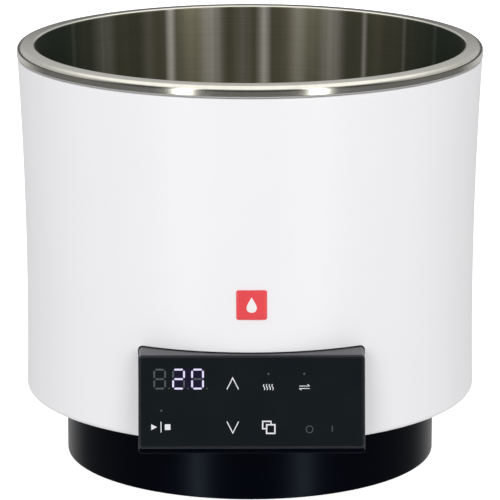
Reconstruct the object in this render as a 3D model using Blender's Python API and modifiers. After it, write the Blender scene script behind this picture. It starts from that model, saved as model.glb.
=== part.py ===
"""Heated water bath for laboratory flasks: a deep stainless tub in a white round shell on a black plinth.

Everything is in metres, +Z up, front towards -Y, and stands on Z = 0. The tub's axis is the empty
bath_axis, set back so that the whole object's box is centred on the origin. Pieces that touch on the
real bath keep the same small gap, GAP, between their meshes.
"""

import math

import bmesh
import bpy
from mathutils import Vector

# Overall
OPENING_RADIUS = 0.120  # inside of the tub at the rim
PLINTH_RADIUS = 0.1045
SHELL_BOTTOM = 0.041  # height of the shell's lower edge above the table
SHELL_HEIGHT = 0.197  # from its lower edge to the rim's top
TUB_DEPTH = 0.140
STEPS = 48  # sides of the large turned pieces, a multiple of 4
GAP = 0.0003  # between pieces that touch on the real bath
PAST = 0.005  # how far a cutter runs on past the face that it cuts

# Tub
RIM_WIDTH = 0.0104
TUB_WALL = 0.001
TUB_DRAFT = 0.004  # how much narrower the tub is at its floor
TUB_CORNER = 0.018
LIP_HEIGHT = 0.0055
LIP_ROUND = 0.003
MOUTH_ROUND = 0.0025

# Gasket and shell
GASKET_BAND = 0.0008
WAIST_OFFSET = 0.0064  # the shell's least outer radius is the opening's and this
WAIST_DROP = 0.137  # from the rim's top down to the waist
FLARE_RADIUS = 2.3  # of the hollow arc that the shell's side follows
SHELL_WALL = 0.0025
SHELL_EDGE = 0.003  # round of the lower edge
FLANGE_REST = 0.0195  # how far the lower flange reaches in over the plinth
TUB_CLEARANCE = 0.001  # between the tub and the hole in the shell's top

# Console
CONSOLE_WIDTH = 0.121
CHIN_HEIGHT = 0.0027  # between the face's lower edge and the console's underside
CONSOLE_PROUD = 0.0028  # how far its top edge stands in front of the shell
FACE_LENGTH = 0.050
FACE_TILT = math.radians(15.0)
CONSOLE_WALL = 0.0025
CONSOLE_ROUND = 0.0022  # of the hood's edges that run back from the face
CHIN_ROUND = 0.0010
CONSOLE_REACH_IN = 0.0264  # how far the hood reaches in behind the shell's waist
TONGUE_INSET = 0.002  # the floor behind the hood is narrower than the hood by this each side
TONGUE_LAP = 0.012  # how far it runs under the hood
TUB_UNDER_CLEARANCE = 0.003  # left free under the tub where the hood reaches in that far
FLOOR_CLEARANCE = 0.001  # the console's floor stops this short of the flange's inner edge
CUTOUT_GAP = 0.0006
GLASS_THICK = 0.002
GLASS_INSET = 0.0008
GLASS_ROUND = 0.0018
LEDGE = 0.004  # width of the ledge that the glass lies on
DIGITS_X = -0.0385
DIGITS_Y = 0.0122
DIGITS_SIZE = (0.032, 0.0146)
BOARD_DEPTH = 0.0100  # display board's face behind the glass's face
BOARD_THICK = 0.0016
BOARD_MARGIN = 0.007  # between the display board's edges and the face's
BOARD_LIFT = 0.001

# Mains rocker in the console's underside
ROCKER_X = 0.0376
ROCKER_REACH = 0.118  # its distance in front of the axis
ROCKER_BODY = (0.0190, 0.0125, 0.0140)
ROCKER_FLANGE = (0.0215, 0.0150, 0.0014)
ROCKER_LENGTH = 0.0156
ROCKER_WIDTH = 0.0090
ROCKER_WELL = 0.0060
ROCKER_REST = math.radians(-8.0)  # switched on: its right end pressed in
WELL_SLACK = 0.0005  # beyond each end of the paddle
PADDLE_ENDS = 0.0030  # how far the paddle's ends stand out below the axle
PADDLE_MIDDLE = 0.0016
PADDLE_SHOULDER = 0.0012  # height of its shoulders above the axle
PADDLE_TAPER = 0.001
PADDLE_NECK = 0.002  # half the width of its top, inside the well
NECK_CLEARANCE = 0.0006

# Badge
BADGE_SIZE = (0.0164, 0.0163)
BADGE_THICK = 0.0008
BADGE_ROUND = 0.0020
BADGE_HEIGHT = 0.1188  # of its middle

# Plinth and what closes it below
PLINTH_BOTTOM = 0.003
PLINTH_WALL = 0.003
PLINTH_EDGE = 0.0012
DECK_THICK = 0.003
DECK_HOLE = 0.062
FLAT_CUT = 0.0095  # how deep the flat rear face is cut into the plinth's round
POST_RADIUS = 0.005
POST_INSET = 0.0205  # from the plinth's outside
REAR_POST_ANGLES = (20.0, 160.0)
POST_BESIDE_FOOT = 0.01466  # along the posts' circle, from the front feet
POST_HOLE_DEPTH = 0.012
BASE_PLATE_THICK = 0.0015
BASE_PLATE_RECESS = 0.001
FOOT_RADIUS = 0.009
FOOT_STEM = 0.003
FOOT_STEM_RISE = 0.005
FOOT_INSET = 0.0196  # from the plinth's outside
FOOT_EDGE = 0.0008
VENT_WIDTH = 0.0035
VENT_LENGTH = 0.032
VENT_PITCH = 0.009
VENT_COUNT = 5
VENT_PLACE = 0.035  # how far behind the axis the vents' middle lies

# Fasteners
SCREW_RADIUS = 0.0020
SCREW_HEAD_RADIUS = 0.0036
SCREW_HEAD_HEIGHT = 0.0020
SCREW_HOLE = 0.0024
SCREW_TIP = 0.0005  # chamfer
HEAD_EDGE = 0.0006
BASE_SCREW_LENGTH = 0.011
PAN_SCREW_PROUD = 0.002  # above the pan
PAN_SCREW_INSET = 0.0125  # from the plinth's outside
PAN_SCREW_ANGLES = (45.0, 135.0, 190.0, 350.0)
CONSOLE_SCREW_X = 0.030
CONSOLE_SCREW_INSET = 0.013

# Chassis pan and the heater stack above it
PAN_EDGE = 0.0075  # how far the pan reaches out past the plinth
PAN_THICK = 0.0015
PAN_FRONT_GAP = 0.003  # from the hood's rear edge
HEATER_MARGIN = 0.003  # from the start of the tub's floor corner
HEATER_INNER = 0.040
HEATER_THICK = 0.006
TERMINAL_X = 0.012
TERMINAL_INSET = 0.021  # from the heater's outside
TERMINAL_RADIUS = 0.002
TERMINAL_CLEARANCE = 0.001  # round it, in the insulation
CLAMP_RADIUS = 0.060
CLAMP_THICK = 0.002
ROD_RADIUS = 0.004
ROD_HOLE = 0.0045
ROD_END = 0.003  # below the tie nut
NUT_RADIUS = 0.0075
NUT_HEIGHT = 0.0065
DISC_EDGE = 0.002  # how far the disc reaches out past the heater
DISC_THICK = 0.012
DISC_DROP = 0.0005
DISC_HOLE = 0.016
SENSOR_PLACE = (0.020, 0.018)
SENSOR_RADIUS = 0.005
CUTOUT_PLACE = (-0.022, -0.016)
CUTOUT_RADIUS = 0.007
SLEEVE_GAP = 0.0004
SLEEVE_RISE = 0.006  # of its lower end above the tub's floor
SLEEVE_TOP_DROP = 0.012

# Electronics
BOARD_SIZE = (0.068, 0.080, 0.0016)
BOARD_PLACE = (-0.054, 0.002)
STANDOFF_HEIGHT = 0.008
STANDOFF_RADIUS = 0.003
STANDOFF_INSET = 0.005
RELAY_SIZE = (0.028, 0.020, 0.015)
RELAY_PLACE = (-0.052, 0.024)
SINK_SIZE = (0.042, 0.026, 0.018)
SINK_PLACE = (-0.052, -0.017)
SINK_FLOOR = 0.003
SINK_SLOTS = 4
SLOT_SHARE = 0.62  # of the fins' pitch
TRANSFORMER_CORE = (0.044, 0.018, 0.027)
TRANSFORMER_COIL = (0.030, 0.036, 0.019)
TRANSFORMER_PLACE = (0.046, 0.004)
FILTER_SIZE = (0.056, 0.046, 0.021)
FILTER_PLACE = (0.0, -0.022)
LEAD_RADIUS = 0.0014
TERMINAL_DROP = 0.002  # of a terminal's end below the insulation disc
LEAD_PITCH = 0.016  # between the two leads at the relay
LEAD_DOWN = 0.012  # straight down from a terminal before it turns
LEAD_BACK = 0.022  # straight back from the relay
LEAD_RISE = 0.009  # of the leads' ends on the relay
LEAD_POINTS = 14

# Rear connectors, on the plinth's flat
INLET_FLANGE = (0.0300, 0.0320, 0.0020)
INLET_BODY = (0.0270, 0.0290, 0.0260)
INLET_HEIGHT = 0.0215  # height of its middle
SOCKET_SIZE = (0.0240, 0.0154)
SOCKET_DEPTH = 0.0160
SOCKET_ROUND = 0.004  # of its two upper corners
SOCKET_RISE = 0.0055  # of the socket's middle above the inlet's
PIN_SIZE = (0.0020, 0.0130, 0.0040)
PIN_SPREAD = 0.0070
PIN_OFFSET = 0.0020
DRAWER_SIZE = (0.0230, 0.0200, 0.0086)
DRAWER_CLEARANCE = 0.0003
DRAWER_DROP = 0.0092  # of the drawer's middle below the inlet's
DRAWER_HANDLE = (0.0250, 0.0016, 0.0096)
TRAY_FLOOR = 0.0012
FUSE_RADIUS = 0.0026
FUSE_LENGTH = 0.0200
FUSE_PLACES = (0.0060, 0.0135)  # behind the drawer's front
SYNC_X = -0.029
SYNC_FLANGE = 0.0095
SYNC_FLANGE_THICK = 0.0018
SYNC_BODY = 0.0078
SYNC_HOLE = 0.0062
SYNC_DEPTH = 0.0070
SYNC_LENGTH = 0.0160
BREAKER_X = 0.029
BREAKER_BODY = (0.0140, 0.0240, 0.0280)
BUSHING_RADIUS = 0.0048
BUSHING_PROUD = 0.0075
BUSHING_BORE = 0.0032
BUSHING_ROOT = 0.004  # how deep it goes into the body
BUTTON_SEAT = 0.006  # of the button in the bore, when pressed
BUTTON_RADIUS = 0.0029
BUTTON_PROUD = 0.0035
BUTTON_TRAVEL = 0.0020
BUTTON_EDGE = 0.0005
BREAKER_NUT = 0.0080
BREAKER_NUT_THICK = 0.0022


RIM_TOP = SHELL_BOTTOM + SHELL_HEIGHT
RIM_RADIUS = OPENING_RADIUS + RIM_WIDTH
SHELL_WAIST = OPENING_RADIUS + WAIST_OFFSET


def arc(centre_r, centre_z, radius, start, end, count):
    """Points (r, z) on an arc between two angles in degrees, both ends included."""
    angles = [math.radians(start + (end - start) * i / count) for i in range(count + 1)]
    return [(centre_r + radius * math.cos(a), centre_z + radius * math.sin(a)) for a in angles]


def shell_radius(height):
    """The shell's outer radius at a height: least at the waist, wider along a long arc above and below."""
    off = height - (RIM_TOP - WAIST_DROP)
    return SHELL_WAIST + FLARE_RADIUS - math.sqrt(FLARE_RADIUS**2 - off**2)


def ring_places(radius, angles):
    """(x, y) places on a circle about the axis, at angles in degrees."""
    turns = [math.radians(angle) for angle in angles]
    return [(radius * math.cos(turn), radius * math.sin(turn)) for turn in turns]


# Heights and reaches that follow from the sizes above
FLANGE_INNER = PLINTH_RADIUS - FLANGE_REST
CONSOLE_BACK = SHELL_WAIST - CONSOLE_REACH_IN
CONSOLE_FLOOR_BACK = FLANGE_INNER + FLOOR_CLEARANCE
REAR_FLAT = PLINTH_RADIUS - FLAT_CUT
PAN_RADIUS = PLINTH_RADIUS + PAN_EDGE
PAN_FRONT = CONSOLE_BACK - PAN_FRONT_GAP
CONSOLE_SCREW_REACH = PLINTH_RADIUS - CONSOLE_SCREW_INSET
HEATER_OUTER = OPENING_RADIUS - TUB_DRAFT - TUB_CORNER - HEATER_MARGIN
TERMINAL_Y = HEATER_OUTER - TERMINAL_INSET
DISC_RADIUS = HEATER_OUTER + DISC_EDGE
FOOT_ANGLES = (225.0, 315.0, 45.0, 135.0)
FOOT_PLACES = ring_places(PLINTH_RADIUS - FOOT_INSET, FOOT_ANGLES)
POST_RING = PLINTH_RADIUS - POST_INSET
POST_TURN = math.degrees(POST_BESIDE_FOOT / POST_RING)
FRONT_POST_ANGLES = (FOOT_ANGLES[0] + POST_TURN, FOOT_ANGLES[1] - POST_TURN)
POST_PLACES = ring_places(POST_RING, REAR_POST_ANGLES + FRONT_POST_ANGLES)
PAN_SCREW_PLACES = ring_places(PLINTH_RADIUS - PAN_SCREW_INSET, PAN_SCREW_ANGLES)
SLEEVE_BOTTOM = RIM_TOP - TUB_DEPTH + SLEEVE_RISE
LIP_BOTTOM = RIM_TOP - LIP_HEIGHT
SHELL_TOP = LIP_BOTTOM - GASKET_BAND - 2 * GAP
TUB_UNDER = RIM_TOP - TUB_DEPTH - TUB_WALL
HEATER_TOP = TUB_UNDER - GAP
HEATER_BOTTOM = HEATER_TOP - HEATER_THICK
CLAMP_TOP = HEATER_BOTTOM - GAP
CLAMP_BOTTOM = CLAMP_TOP - CLAMP_THICK
DISC_TOP = CLAMP_BOTTOM - DISC_DROP
DISC_BOTTOM = DISC_TOP - DISC_THICK
DECK_TOP = SHELL_BOTTOM - GAP
DECK_UNDER = DECK_TOP - DECK_THICK
FLANGE_TOP = SHELL_BOTTOM + SHELL_WALL
PAN_BOTTOM = FLANGE_TOP + GAP
PAN_TOP = PAN_BOTTOM + PAN_THICK
BASE_PLATE_BOTTOM = PLINTH_BOTTOM + BASE_PLATE_RECESS
BASE_PLATE_TOP = BASE_PLATE_BOTTOM + BASE_PLATE_THICK
CONSOLE_TOP = SHELL_BOTTOM + CHIN_HEIGHT + FACE_LENGTH * math.cos(FACE_TILT)
FACE_TOP_REACH = shell_radius(CONSOLE_TOP) + CONSOLE_PROUD
FACE_BOTTOM_REACH = FACE_TOP_REACH + FACE_LENGTH * math.sin(FACE_TILT)
FACE_BOTTOM = SHELL_BOTTOM + CHIN_HEIGHT
FACE_MIDDLE = (0.0, -(FACE_TOP_REACH + FACE_BOTTOM_REACH) / 2, (CONSOLE_TOP + FACE_BOTTOM) / 2)
AXIS_Y = (FACE_BOTTOM_REACH - RIM_RADIUS) / 2

for old in list(bpy.data.objects):
    bpy.data.objects.remove(old)

parts = bpy.data.collections.new("water_bath")
cutters = bpy.data.collections.new("cutters")
cutters.hide_render = True
for group in (parts, cutters):
    bpy.context.scene.collection.children.link(group)


def empty(name, place, turn=(0.0, 0.0, 0.0), parent=None):
    """An empty that other objects hang on."""
    obj = bpy.data.objects.new(name, None)
    obj.location = place
    obj.rotation_euler = turn
    obj.parent = parent
    parts.objects.link(obj)
    return obj


axis = empty("bath_axis", (0.0, AXIS_Y, 0.0))
face = empty("console_face", FACE_MIDDLE, (math.pi / 2 - FACE_TILT, 0.0, 0.0), axis)
rocker_pivot = empty("rocker_pivot", (ROCKER_X, -ROCKER_REACH, SHELL_BOTTOM), parent=axis)


def finish(name, colour, roughness, metallic=0.0):
    """A Principled material with one colour, roughness and metallic value."""
    made = bpy.data.materials.new(name)
    made.use_nodes = True
    shader = made.node_tree.nodes["Principled BSDF"]
    shader.inputs["Base Color"].default_value = (*colour, 1.0)
    shader.inputs["Roughness"].default_value = roughness
    shader.inputs["Metallic"].default_value = metallic
    return made


STAINLESS = finish("stainless", (0.60, 0.59, 0.56), 0.28, 1.0)
ZINC = finish("zinc_steel", (0.62, 0.62, 0.60), 0.38, 1.0)
ALUMINIUM = finish("aluminium", (0.75, 0.75, 0.76), 0.35, 1.0)
BRASS = finish("brass", (0.78, 0.60, 0.30), 0.30, 1.0)
WHITE = finish("white_shell", (0.86, 0.86, 0.88), 0.30)
BLACK = finish("black_plastic", (0.012, 0.012, 0.014), 0.32)
GREY = finish("console_plastic", (0.06, 0.065, 0.065), 0.45)
GLASS = finish("dark_glass", (0.012, 0.016, 0.016), 0.12)
RED = finish("red_enamel", (0.62, 0.02, 0.03), 0.35)
SILICONE = finish("grey_silicone", (0.45, 0.45, 0.44), 0.60)
RUBBER = finish("black_rubber", (0.015, 0.015, 0.015), 0.80)
GREEN = finish("circuit_board", (0.02, 0.16, 0.07), 0.45)
WOOL = finish("mineral_felt", (0.62, 0.58, 0.48), 0.95)
CERAMIC = finish("fuse_ceramic", (0.80, 0.78, 0.72), 0.50)
WIRE = finish("red_lead", (0.45, 0.03, 0.03), 0.50)


def add(name, mesh, place, coating, turn=(0.0, 0.0, 0.0), parent=axis, home=parts):
    """An object for a mesh, at a place under its parent."""
    obj = bpy.data.objects.new(name, mesh)
    obj.location = place
    obj.rotation_euler = turn
    obj.parent = parent
    home.objects.link(obj)
    if coating:
        mesh.materials.append(coating)
    if home is cutters:
        obj.hide_render = True
        obj.display_type = "WIRE"
    return obj


def mesh_from(work, name):
    """The bmesh as a mesh, smooth except at its sharp edges."""
    mesh = bpy.data.meshes.new(name)
    work.to_mesh(mesh)
    work.free()
    mesh.shade_smooth()
    mesh.set_sharp_from_angle(angle=math.radians(35.0))
    return mesh


def box_mesh(name, size):
    """A box with its middle at the origin."""
    work = bmesh.new()
    bmesh.ops.create_cube(work, size=1.0)
    bmesh.ops.scale(work, vec=Vector(size), verts=work.verts)
    return mesh_from(work, name)


def rod_mesh(name, radius, length, sides=20):
    """An upright rod that stands on the origin."""
    work = bmesh.new()
    bmesh.ops.create_cone(
        work, cap_ends=True, segments=sides, radius1=radius, radius2=radius, depth=length
    )
    bmesh.ops.translate(work, vec=Vector((0.0, 0.0, length / 2)), verts=work.verts)
    return mesh_from(work, name)


def box(name, size, place, coating, **how):
    return add(name, box_mesh(name, size), place, coating, **how)


def rod(name, radius, length, place, coating, sides=20, **how):
    return add(name, rod_mesh(name, radius, length, sides), place, coating, **how)


def box_cutter(name, size, place, **how):
    return box(name, size, place, None, home=cutters, **how)


def rod_cutter(name, radius, length, place, sides=16, **how):
    return rod(name, radius, length, place, None, sides=sides, home=cutters, **how)


def turned(name, profile, coating, place=(0.0, 0.0, 0.0), closed=False, steps=STEPS, **how):
    """A profile of (r, z) points, down its outer side, turned about Z."""
    mesh = bpy.data.meshes.new(name)
    edges = [(i, i + 1) for i in range(len(profile) - 1)]
    if closed:
        edges.append((len(profile) - 1, 0))
    mesh.from_pydata([(r, 0.0, z) for r, z in profile], edges, [])
    obj = add(name, mesh, place, coating, **how)
    screw = obj.modifiers.new("Turn", "SCREW")
    screw.steps = steps
    screw.render_steps = steps
    screw.use_merge_vertices = True
    screw.merge_threshold = 0.00001
    screw.use_smooth_shade = True
    return obj


def plate_mesh(name, outline, thickness):
    """A flat outline in XY given thickness along Z, its middle at Z = 0."""
    curve = bpy.data.curves.new(name, "CURVE")
    curve.dimensions = "2D"
    curve.fill_mode = "BOTH"
    curve.extrude = thickness / 2
    spline = curve.splines.new("POLY")
    spline.points.add(len(outline) - 1)
    for point, (x, y) in zip(spline.points, outline):
        point.co = (x, y, 0.0, 1.0)
    spline.use_cyclic_u = True
    drawn = bpy.data.objects.new(name + "_outline", curve)
    parts.objects.link(drawn)
    bpy.context.view_layer.update()
    graph = bpy.context.evaluated_depsgraph_get()
    flat = bpy.data.meshes.new_from_object(drawn.evaluated_get(graph))
    bpy.data.objects.remove(drawn)
    bpy.data.curves.remove(curve)
    work = bmesh.new()
    work.from_mesh(flat)
    bpy.data.meshes.remove(flat)
    bmesh.ops.remove_doubles(work, verts=work.verts, dist=0.000001)
    bmesh.ops.recalc_face_normals(work, faces=work.faces)
    return mesh_from(work, name)


def plate(name, outline, thickness, place, coating, **how):
    return add(name, plate_mesh(name, outline, thickness), place, coating, **how)


def rounded_rectangle(width, height, radius, corners=(1, 1, 1, 1), count=3):
    """A rectangle about the origin, its corners rounded where the flag is set, from the lower right round."""
    outline = []
    signs = ((1, -1), (1, 1), (-1, 1), (-1, -1))
    for (sx, sy), flag, start in zip(signs, corners, (-90, 0, 90, 180)):
        if flag:
            centre = (sx * (width / 2 - radius), sy * (height / 2 - radius))
            outline += arc(*centre, radius, start, start + 90, count)
        else:
            outline.append((sx * width / 2, sy * height / 2))
    return outline


def flatted_circle(radius, flat, steps=STEPS):
    """A circle cut off by a straight rear side at Y = flat."""
    half = math.degrees(math.acos(flat / radius))
    return arc(0.0, 0.0, radius, 90.0 + half, 450.0 - half, steps)


def boolean(obj, other, kind="DIFFERENCE"):
    modifier = obj.modifiers.new(kind.title(), "BOOLEAN")
    modifier.operation = kind
    modifier.solver = "EXACT"
    modifier.object = other


def bevel(obj, width, segments=2):
    modifier = obj.modifiers.new("Round", "BEVEL")
    modifier.width = width
    modifier.segments = segments
    modifier.limit_method = "ANGLE"
    modifier.angle_limit = math.radians(40.0)


def make_tub():
    floor = RIM_TOP - TUB_DEPTH
    floor_radius = OPENING_RADIUS - TUB_DRAFT
    bend = floor_radius - TUB_CORNER
    roll = OPENING_RADIUS + MOUTH_ROUND
    lip = RIM_RADIUS - LIP_ROUND
    profile = [(0.0, floor)]
    profile += arc(bend, floor + TUB_CORNER, TUB_CORNER, -90, 0, 4)
    profile += arc(roll, RIM_TOP - MOUTH_ROUND, MOUTH_ROUND, 180, 90, 3)
    profile += arc(lip, RIM_TOP - LIP_ROUND, LIP_ROUND, 90, 0, 3)
    profile += [(RIM_RADIUS, LIP_BOTTOM), (RIM_RADIUS - TUB_WALL, LIP_BOTTOM)]
    profile += arc(lip, RIM_TOP - LIP_ROUND, LIP_ROUND - TUB_WALL, 0, 90, 3)
    profile += arc(roll, RIM_TOP - MOUTH_ROUND, MOUTH_ROUND - TUB_WALL, 90, 180, 3)
    profile += arc(bend, floor + TUB_CORNER, TUB_CORNER + TUB_WALL, 0, -90, 4)
    profile.append((0.0, floor - TUB_WALL))
    turned("tub", profile, STAINLESS)


def make_gasket():
    inner = OPENING_RADIUS + TUB_WALL + GAP
    rib = RIM_RADIUS - TUB_WALL - GAP
    band = shell_radius(SHELL_TOP) - GAP
    top = RIM_TOP - LIP_ROUND
    step = LIP_BOTTOM - GAP
    profile = [(inner, top), (rib, top), (rib, step), (band, step)]
    profile += [(band, step - GASKET_BAND), (inner, step - GASKET_BAND)]
    turned("rim_gasket", profile, SILICONE, closed=True)


def shell_side(inset, bottom, top, count):
    """Points down the shell's side, moved in by a wall."""
    heights = [top + (bottom - top) * i / count for i in range(count + 1)]
    return [(shell_radius(z) - inset, z) for z in heights]


def make_shell():
    mouth = OPENING_RADIUS + TUB_WALL + TUB_CLEARANCE
    foot = shell_radius(SHELL_BOTTOM) - SHELL_EDGE
    edge = SHELL_BOTTOM + SHELL_EDGE
    profile = [(mouth, SHELL_TOP)]
    profile += shell_side(0.0, edge, SHELL_TOP, 7)[:-1]
    profile += arc(foot, edge, SHELL_EDGE, 0, -90, 3)
    profile += [(FLANGE_INNER, SHELL_BOTTOM), (FLANGE_INNER, FLANGE_TOP)]
    profile += list(reversed(shell_side(SHELL_WALL, FLANGE_TOP, SHELL_TOP - SHELL_WALL, 4)))
    profile.append((mouth, SHELL_TOP - SHELL_WALL))
    shell = turned("shell", profile, WHITE, closed=True)
    wide = CONSOLE_WIDTH + 2 * CUTOUT_GAP
    low = SHELL_BOTTOM - PAST
    high = CONSOLE_TOP + CUTOUT_GAP
    front = FACE_BOTTOM_REACH + 2 * PAST
    back = FLANGE_INNER - CUTOUT_GAP
    outline = rounded_rectangle(wide, high - low, CONSOLE_ROUND + CUTOUT_GAP, (0, 1, 1, 0))
    place = (0.0, -(front + back) / 2, (high + low) / 2)
    turn = (math.pi / 2, 0.0, 0.0)
    boolean(shell, plate("console_window", outline, front - back, place, None, turn=turn, home=cutters))
    for x, y in PAN_SCREW_PLACES:
        boolean(shell, rod_cutter("flange_hole", SCREW_HOLE, 3 * PAST, (x, y, SHELL_BOTTOM - PAST)))


def front_prism(name, width, height, radius):
    """A cutter with the hood's outline as seen from the front, longer than the hood both ways."""
    outline = rounded_rectangle(width, height, radius)
    place = (0.0, -CONSOLE_BACK, SHELL_BOTTOM + height / 2)
    turn = (math.pi / 2, 0.0, 0.0)
    return plate(name, outline, 2 * CONSOLE_BACK, place, None, turn=turn, home=cutters)


def make_console_housing():
    """The hood: a wedge with a sloping front, hollow and open behind, with a floor that runs on back."""
    side = [
        (-CONSOLE_BACK, SHELL_BOTTOM),
        (-CONSOLE_BACK, CONSOLE_TOP),
        (-FACE_TOP_REACH, CONSOLE_TOP),
        (-FACE_BOTTOM_REACH, FACE_BOTTOM),
        (-FACE_BOTTOM_REACH, SHELL_BOTTOM + CHIN_ROUND),
        (-FACE_BOTTOM_REACH + CHIN_ROUND, SHELL_BOTTOM),
    ]
    sideways = (math.pi / 2, 0.0, math.pi / 2)
    hood = plate(
        "console_housing", side, CONSOLE_WIDTH, (0.0, 0.0, 0.0), GREY, turn=sideways
    )
    tall = CONSOLE_TOP - SHELL_BOTTOM
    boolean(hood, front_prism("console_outline", CONSOLE_WIDTH, tall, CONSOLE_ROUND), "INTERSECT")
    run = CONSOLE_BACK - CONSOLE_FLOOR_BACK + TONGUE_LAP
    tongue = box_cutter(
        "console_tongue",
        (CONSOLE_WIDTH - 2 * TONGUE_INSET, run, CONSOLE_WALL),
        (0.0, -CONSOLE_FLOOR_BACK - run / 2, SHELL_BOTTOM + CONSOLE_WALL / 2),
    )
    boolean(hood, tongue, "UNION")
    skin = CONSOLE_WALL + GLASS_THICK + GAP
    drop = CONSOLE_WALL * math.tan(FACE_TILT)
    lean = skin / math.cos(FACE_TILT)
    floor = SHELL_BOTTOM + CONSOLE_WALL
    hollow = [
        (-CONSOLE_BACK + 4 * PAST, floor),
        (-CONSOLE_BACK + 4 * PAST, CONSOLE_TOP - CONSOLE_WALL),
        (-FACE_TOP_REACH + lean - drop, CONSOLE_TOP - CONSOLE_WALL),
        (-FACE_BOTTOM_REACH + lean + (floor - FACE_BOTTOM) * math.tan(FACE_TILT), floor),
    ]
    inside = CONSOLE_WIDTH - 2 * CONSOLE_WALL
    boolean(hood, plate("console_hollow", hollow, inside, (0, 0, 0), None, turn=sideways, home=cutters))
    room = OPENING_RADIUS + TUB_WALL + TUB_CLEARANCE
    place = (0.0, 0.0, TUB_UNDER - TUB_UNDER_CLEARANCE)
    boolean(hood, rod_cutter("tub_room", room, TUB_DEPTH, place, STEPS))
    seat = glass_size(GAP)
    depth = GLASS_THICK + GAP
    outline = rounded_rectangle(*seat, GLASS_ROUND + GAP)
    pocket = plate("glass_seat", outline, 2 * depth, (0.0, 0.0, 0.0), None, parent=face, home=cutters)
    boolean(hood, pocket)
    through = glass_size(-LEDGE)
    boolean(hood, box_cutter("glass_window", (*through, 4 * skin), (0.0, 0.0, 0.0), parent=face))
    body = (ROCKER_BODY[0] + 2 * GAP, ROCKER_BODY[1] + 2 * GAP, 4 * CONSOLE_WALL)
    boolean(hood, box_cutter("rocker_hole", body, (0.0, 0.0, 0.0), parent=rocker_pivot))
    for x in (-CONSOLE_SCREW_X, CONSOLE_SCREW_X):
        place = (x, -CONSOLE_SCREW_REACH, SHELL_BOTTOM - PAST)
        boolean(hood, rod_cutter("tongue_hole", SCREW_HOLE, 3 * PAST, place))


def glass_size(grow):
    """Width and length of the glass, made larger or smaller all round."""
    return (
        CONSOLE_WIDTH - 2 * GLASS_INSET + 2 * grow,
        FACE_LENGTH - 2 * GLASS_INSET + 2 * grow,
    )


def make_console_front():
    glass = glass_size(0.0)
    outline = rounded_rectangle(*glass, GLASS_ROUND)
    plate("touch_glass", outline, GLASS_THICK, (0.0, 0.0, -GLASS_THICK / 2), GLASS, parent=face)
    inside = CONSOLE_WIDTH - 2 * CONSOLE_WALL - 2 * GAP
    board = (inside, FACE_LENGTH - 2 * BOARD_MARGIN, BOARD_THICK)
    middle = -BOARD_DEPTH - BOARD_THICK / 2
    box("display_board", board, (0.0, BOARD_LIFT, middle), GREEN, parent=face)
    deep = BOARD_DEPTH - GLASS_THICK - 2 * GAP
    place = (DIGITS_X, DIGITS_Y, -GLASS_THICK - GAP - deep / 2)
    box("display_module", (*DIGITS_SIZE, deep), place, BLACK, parent=face)


def make_badge():
    outline = rounded_rectangle(*BADGE_SIZE, BADGE_ROUND)
    reach = shell_radius(BADGE_HEIGHT) + GAP + BADGE_THICK / 2
    turn = (math.pi / 2, 0.0, 0.0)
    plate("badge", outline, BADGE_THICK, (0.0, -reach, BADGE_HEIGHT), RED, turn=turn)


def make_rocker():
    """The switch body hangs in the console's floor; the paddle rocks about an axle along Y."""
    flange = ROCKER_FLANGE
    drop = -GAP - flange[2]
    body = box("rocker_body", flange, (0.0, 0.0, drop / 2 - GAP / 2), BLACK, parent=rocker_pivot)
    height = ROCKER_BODY[2] + GAP + flange[2] / 2
    stem = box_cutter(
        "rocker_stem",
        (ROCKER_BODY[0], ROCKER_BODY[1], height),
        (0.0, 0.0, height / 2 - GAP - flange[2] / 2),
        parent=rocker_pivot,
    )
    boolean(body, stem, "UNION")
    well = box_cutter(
        "rocker_well",
        (ROCKER_LENGTH + 2 * WELL_SLACK, ROCKER_WIDTH + 2 * GAP, 4 * PAST),
        (0.0, 0.0, ROCKER_WELL - 2 * PAST),
        parent=rocker_pivot,
    )
    boolean(body, well)
    half = ROCKER_LENGTH / 2
    shoulder = half - PADDLE_TAPER
    neck = ROCKER_WELL - NECK_CLEARANCE
    paddle = [(-half, -PADDLE_ENDS), (0.0, -PADDLE_MIDDLE), (half, -PADDLE_ENDS)]
    paddle += [(shoulder, PADDLE_SHOULDER), (PADDLE_NECK, neck)]
    paddle += [(-PADDLE_NECK, neck), (-shoulder, PADDLE_SHOULDER)]
    tilt = empty("rocker_tilt", (0.0, 0.0, 0.0), (0.0, ROCKER_REST, 0.0), rocker_pivot)
    turn = (math.pi / 2, 0.0, 0.0)
    plate("rocker", paddle, ROCKER_WIDTH, (0.0, 0.0, 0.0), BLACK, turn=turn, parent=tilt)


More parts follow.
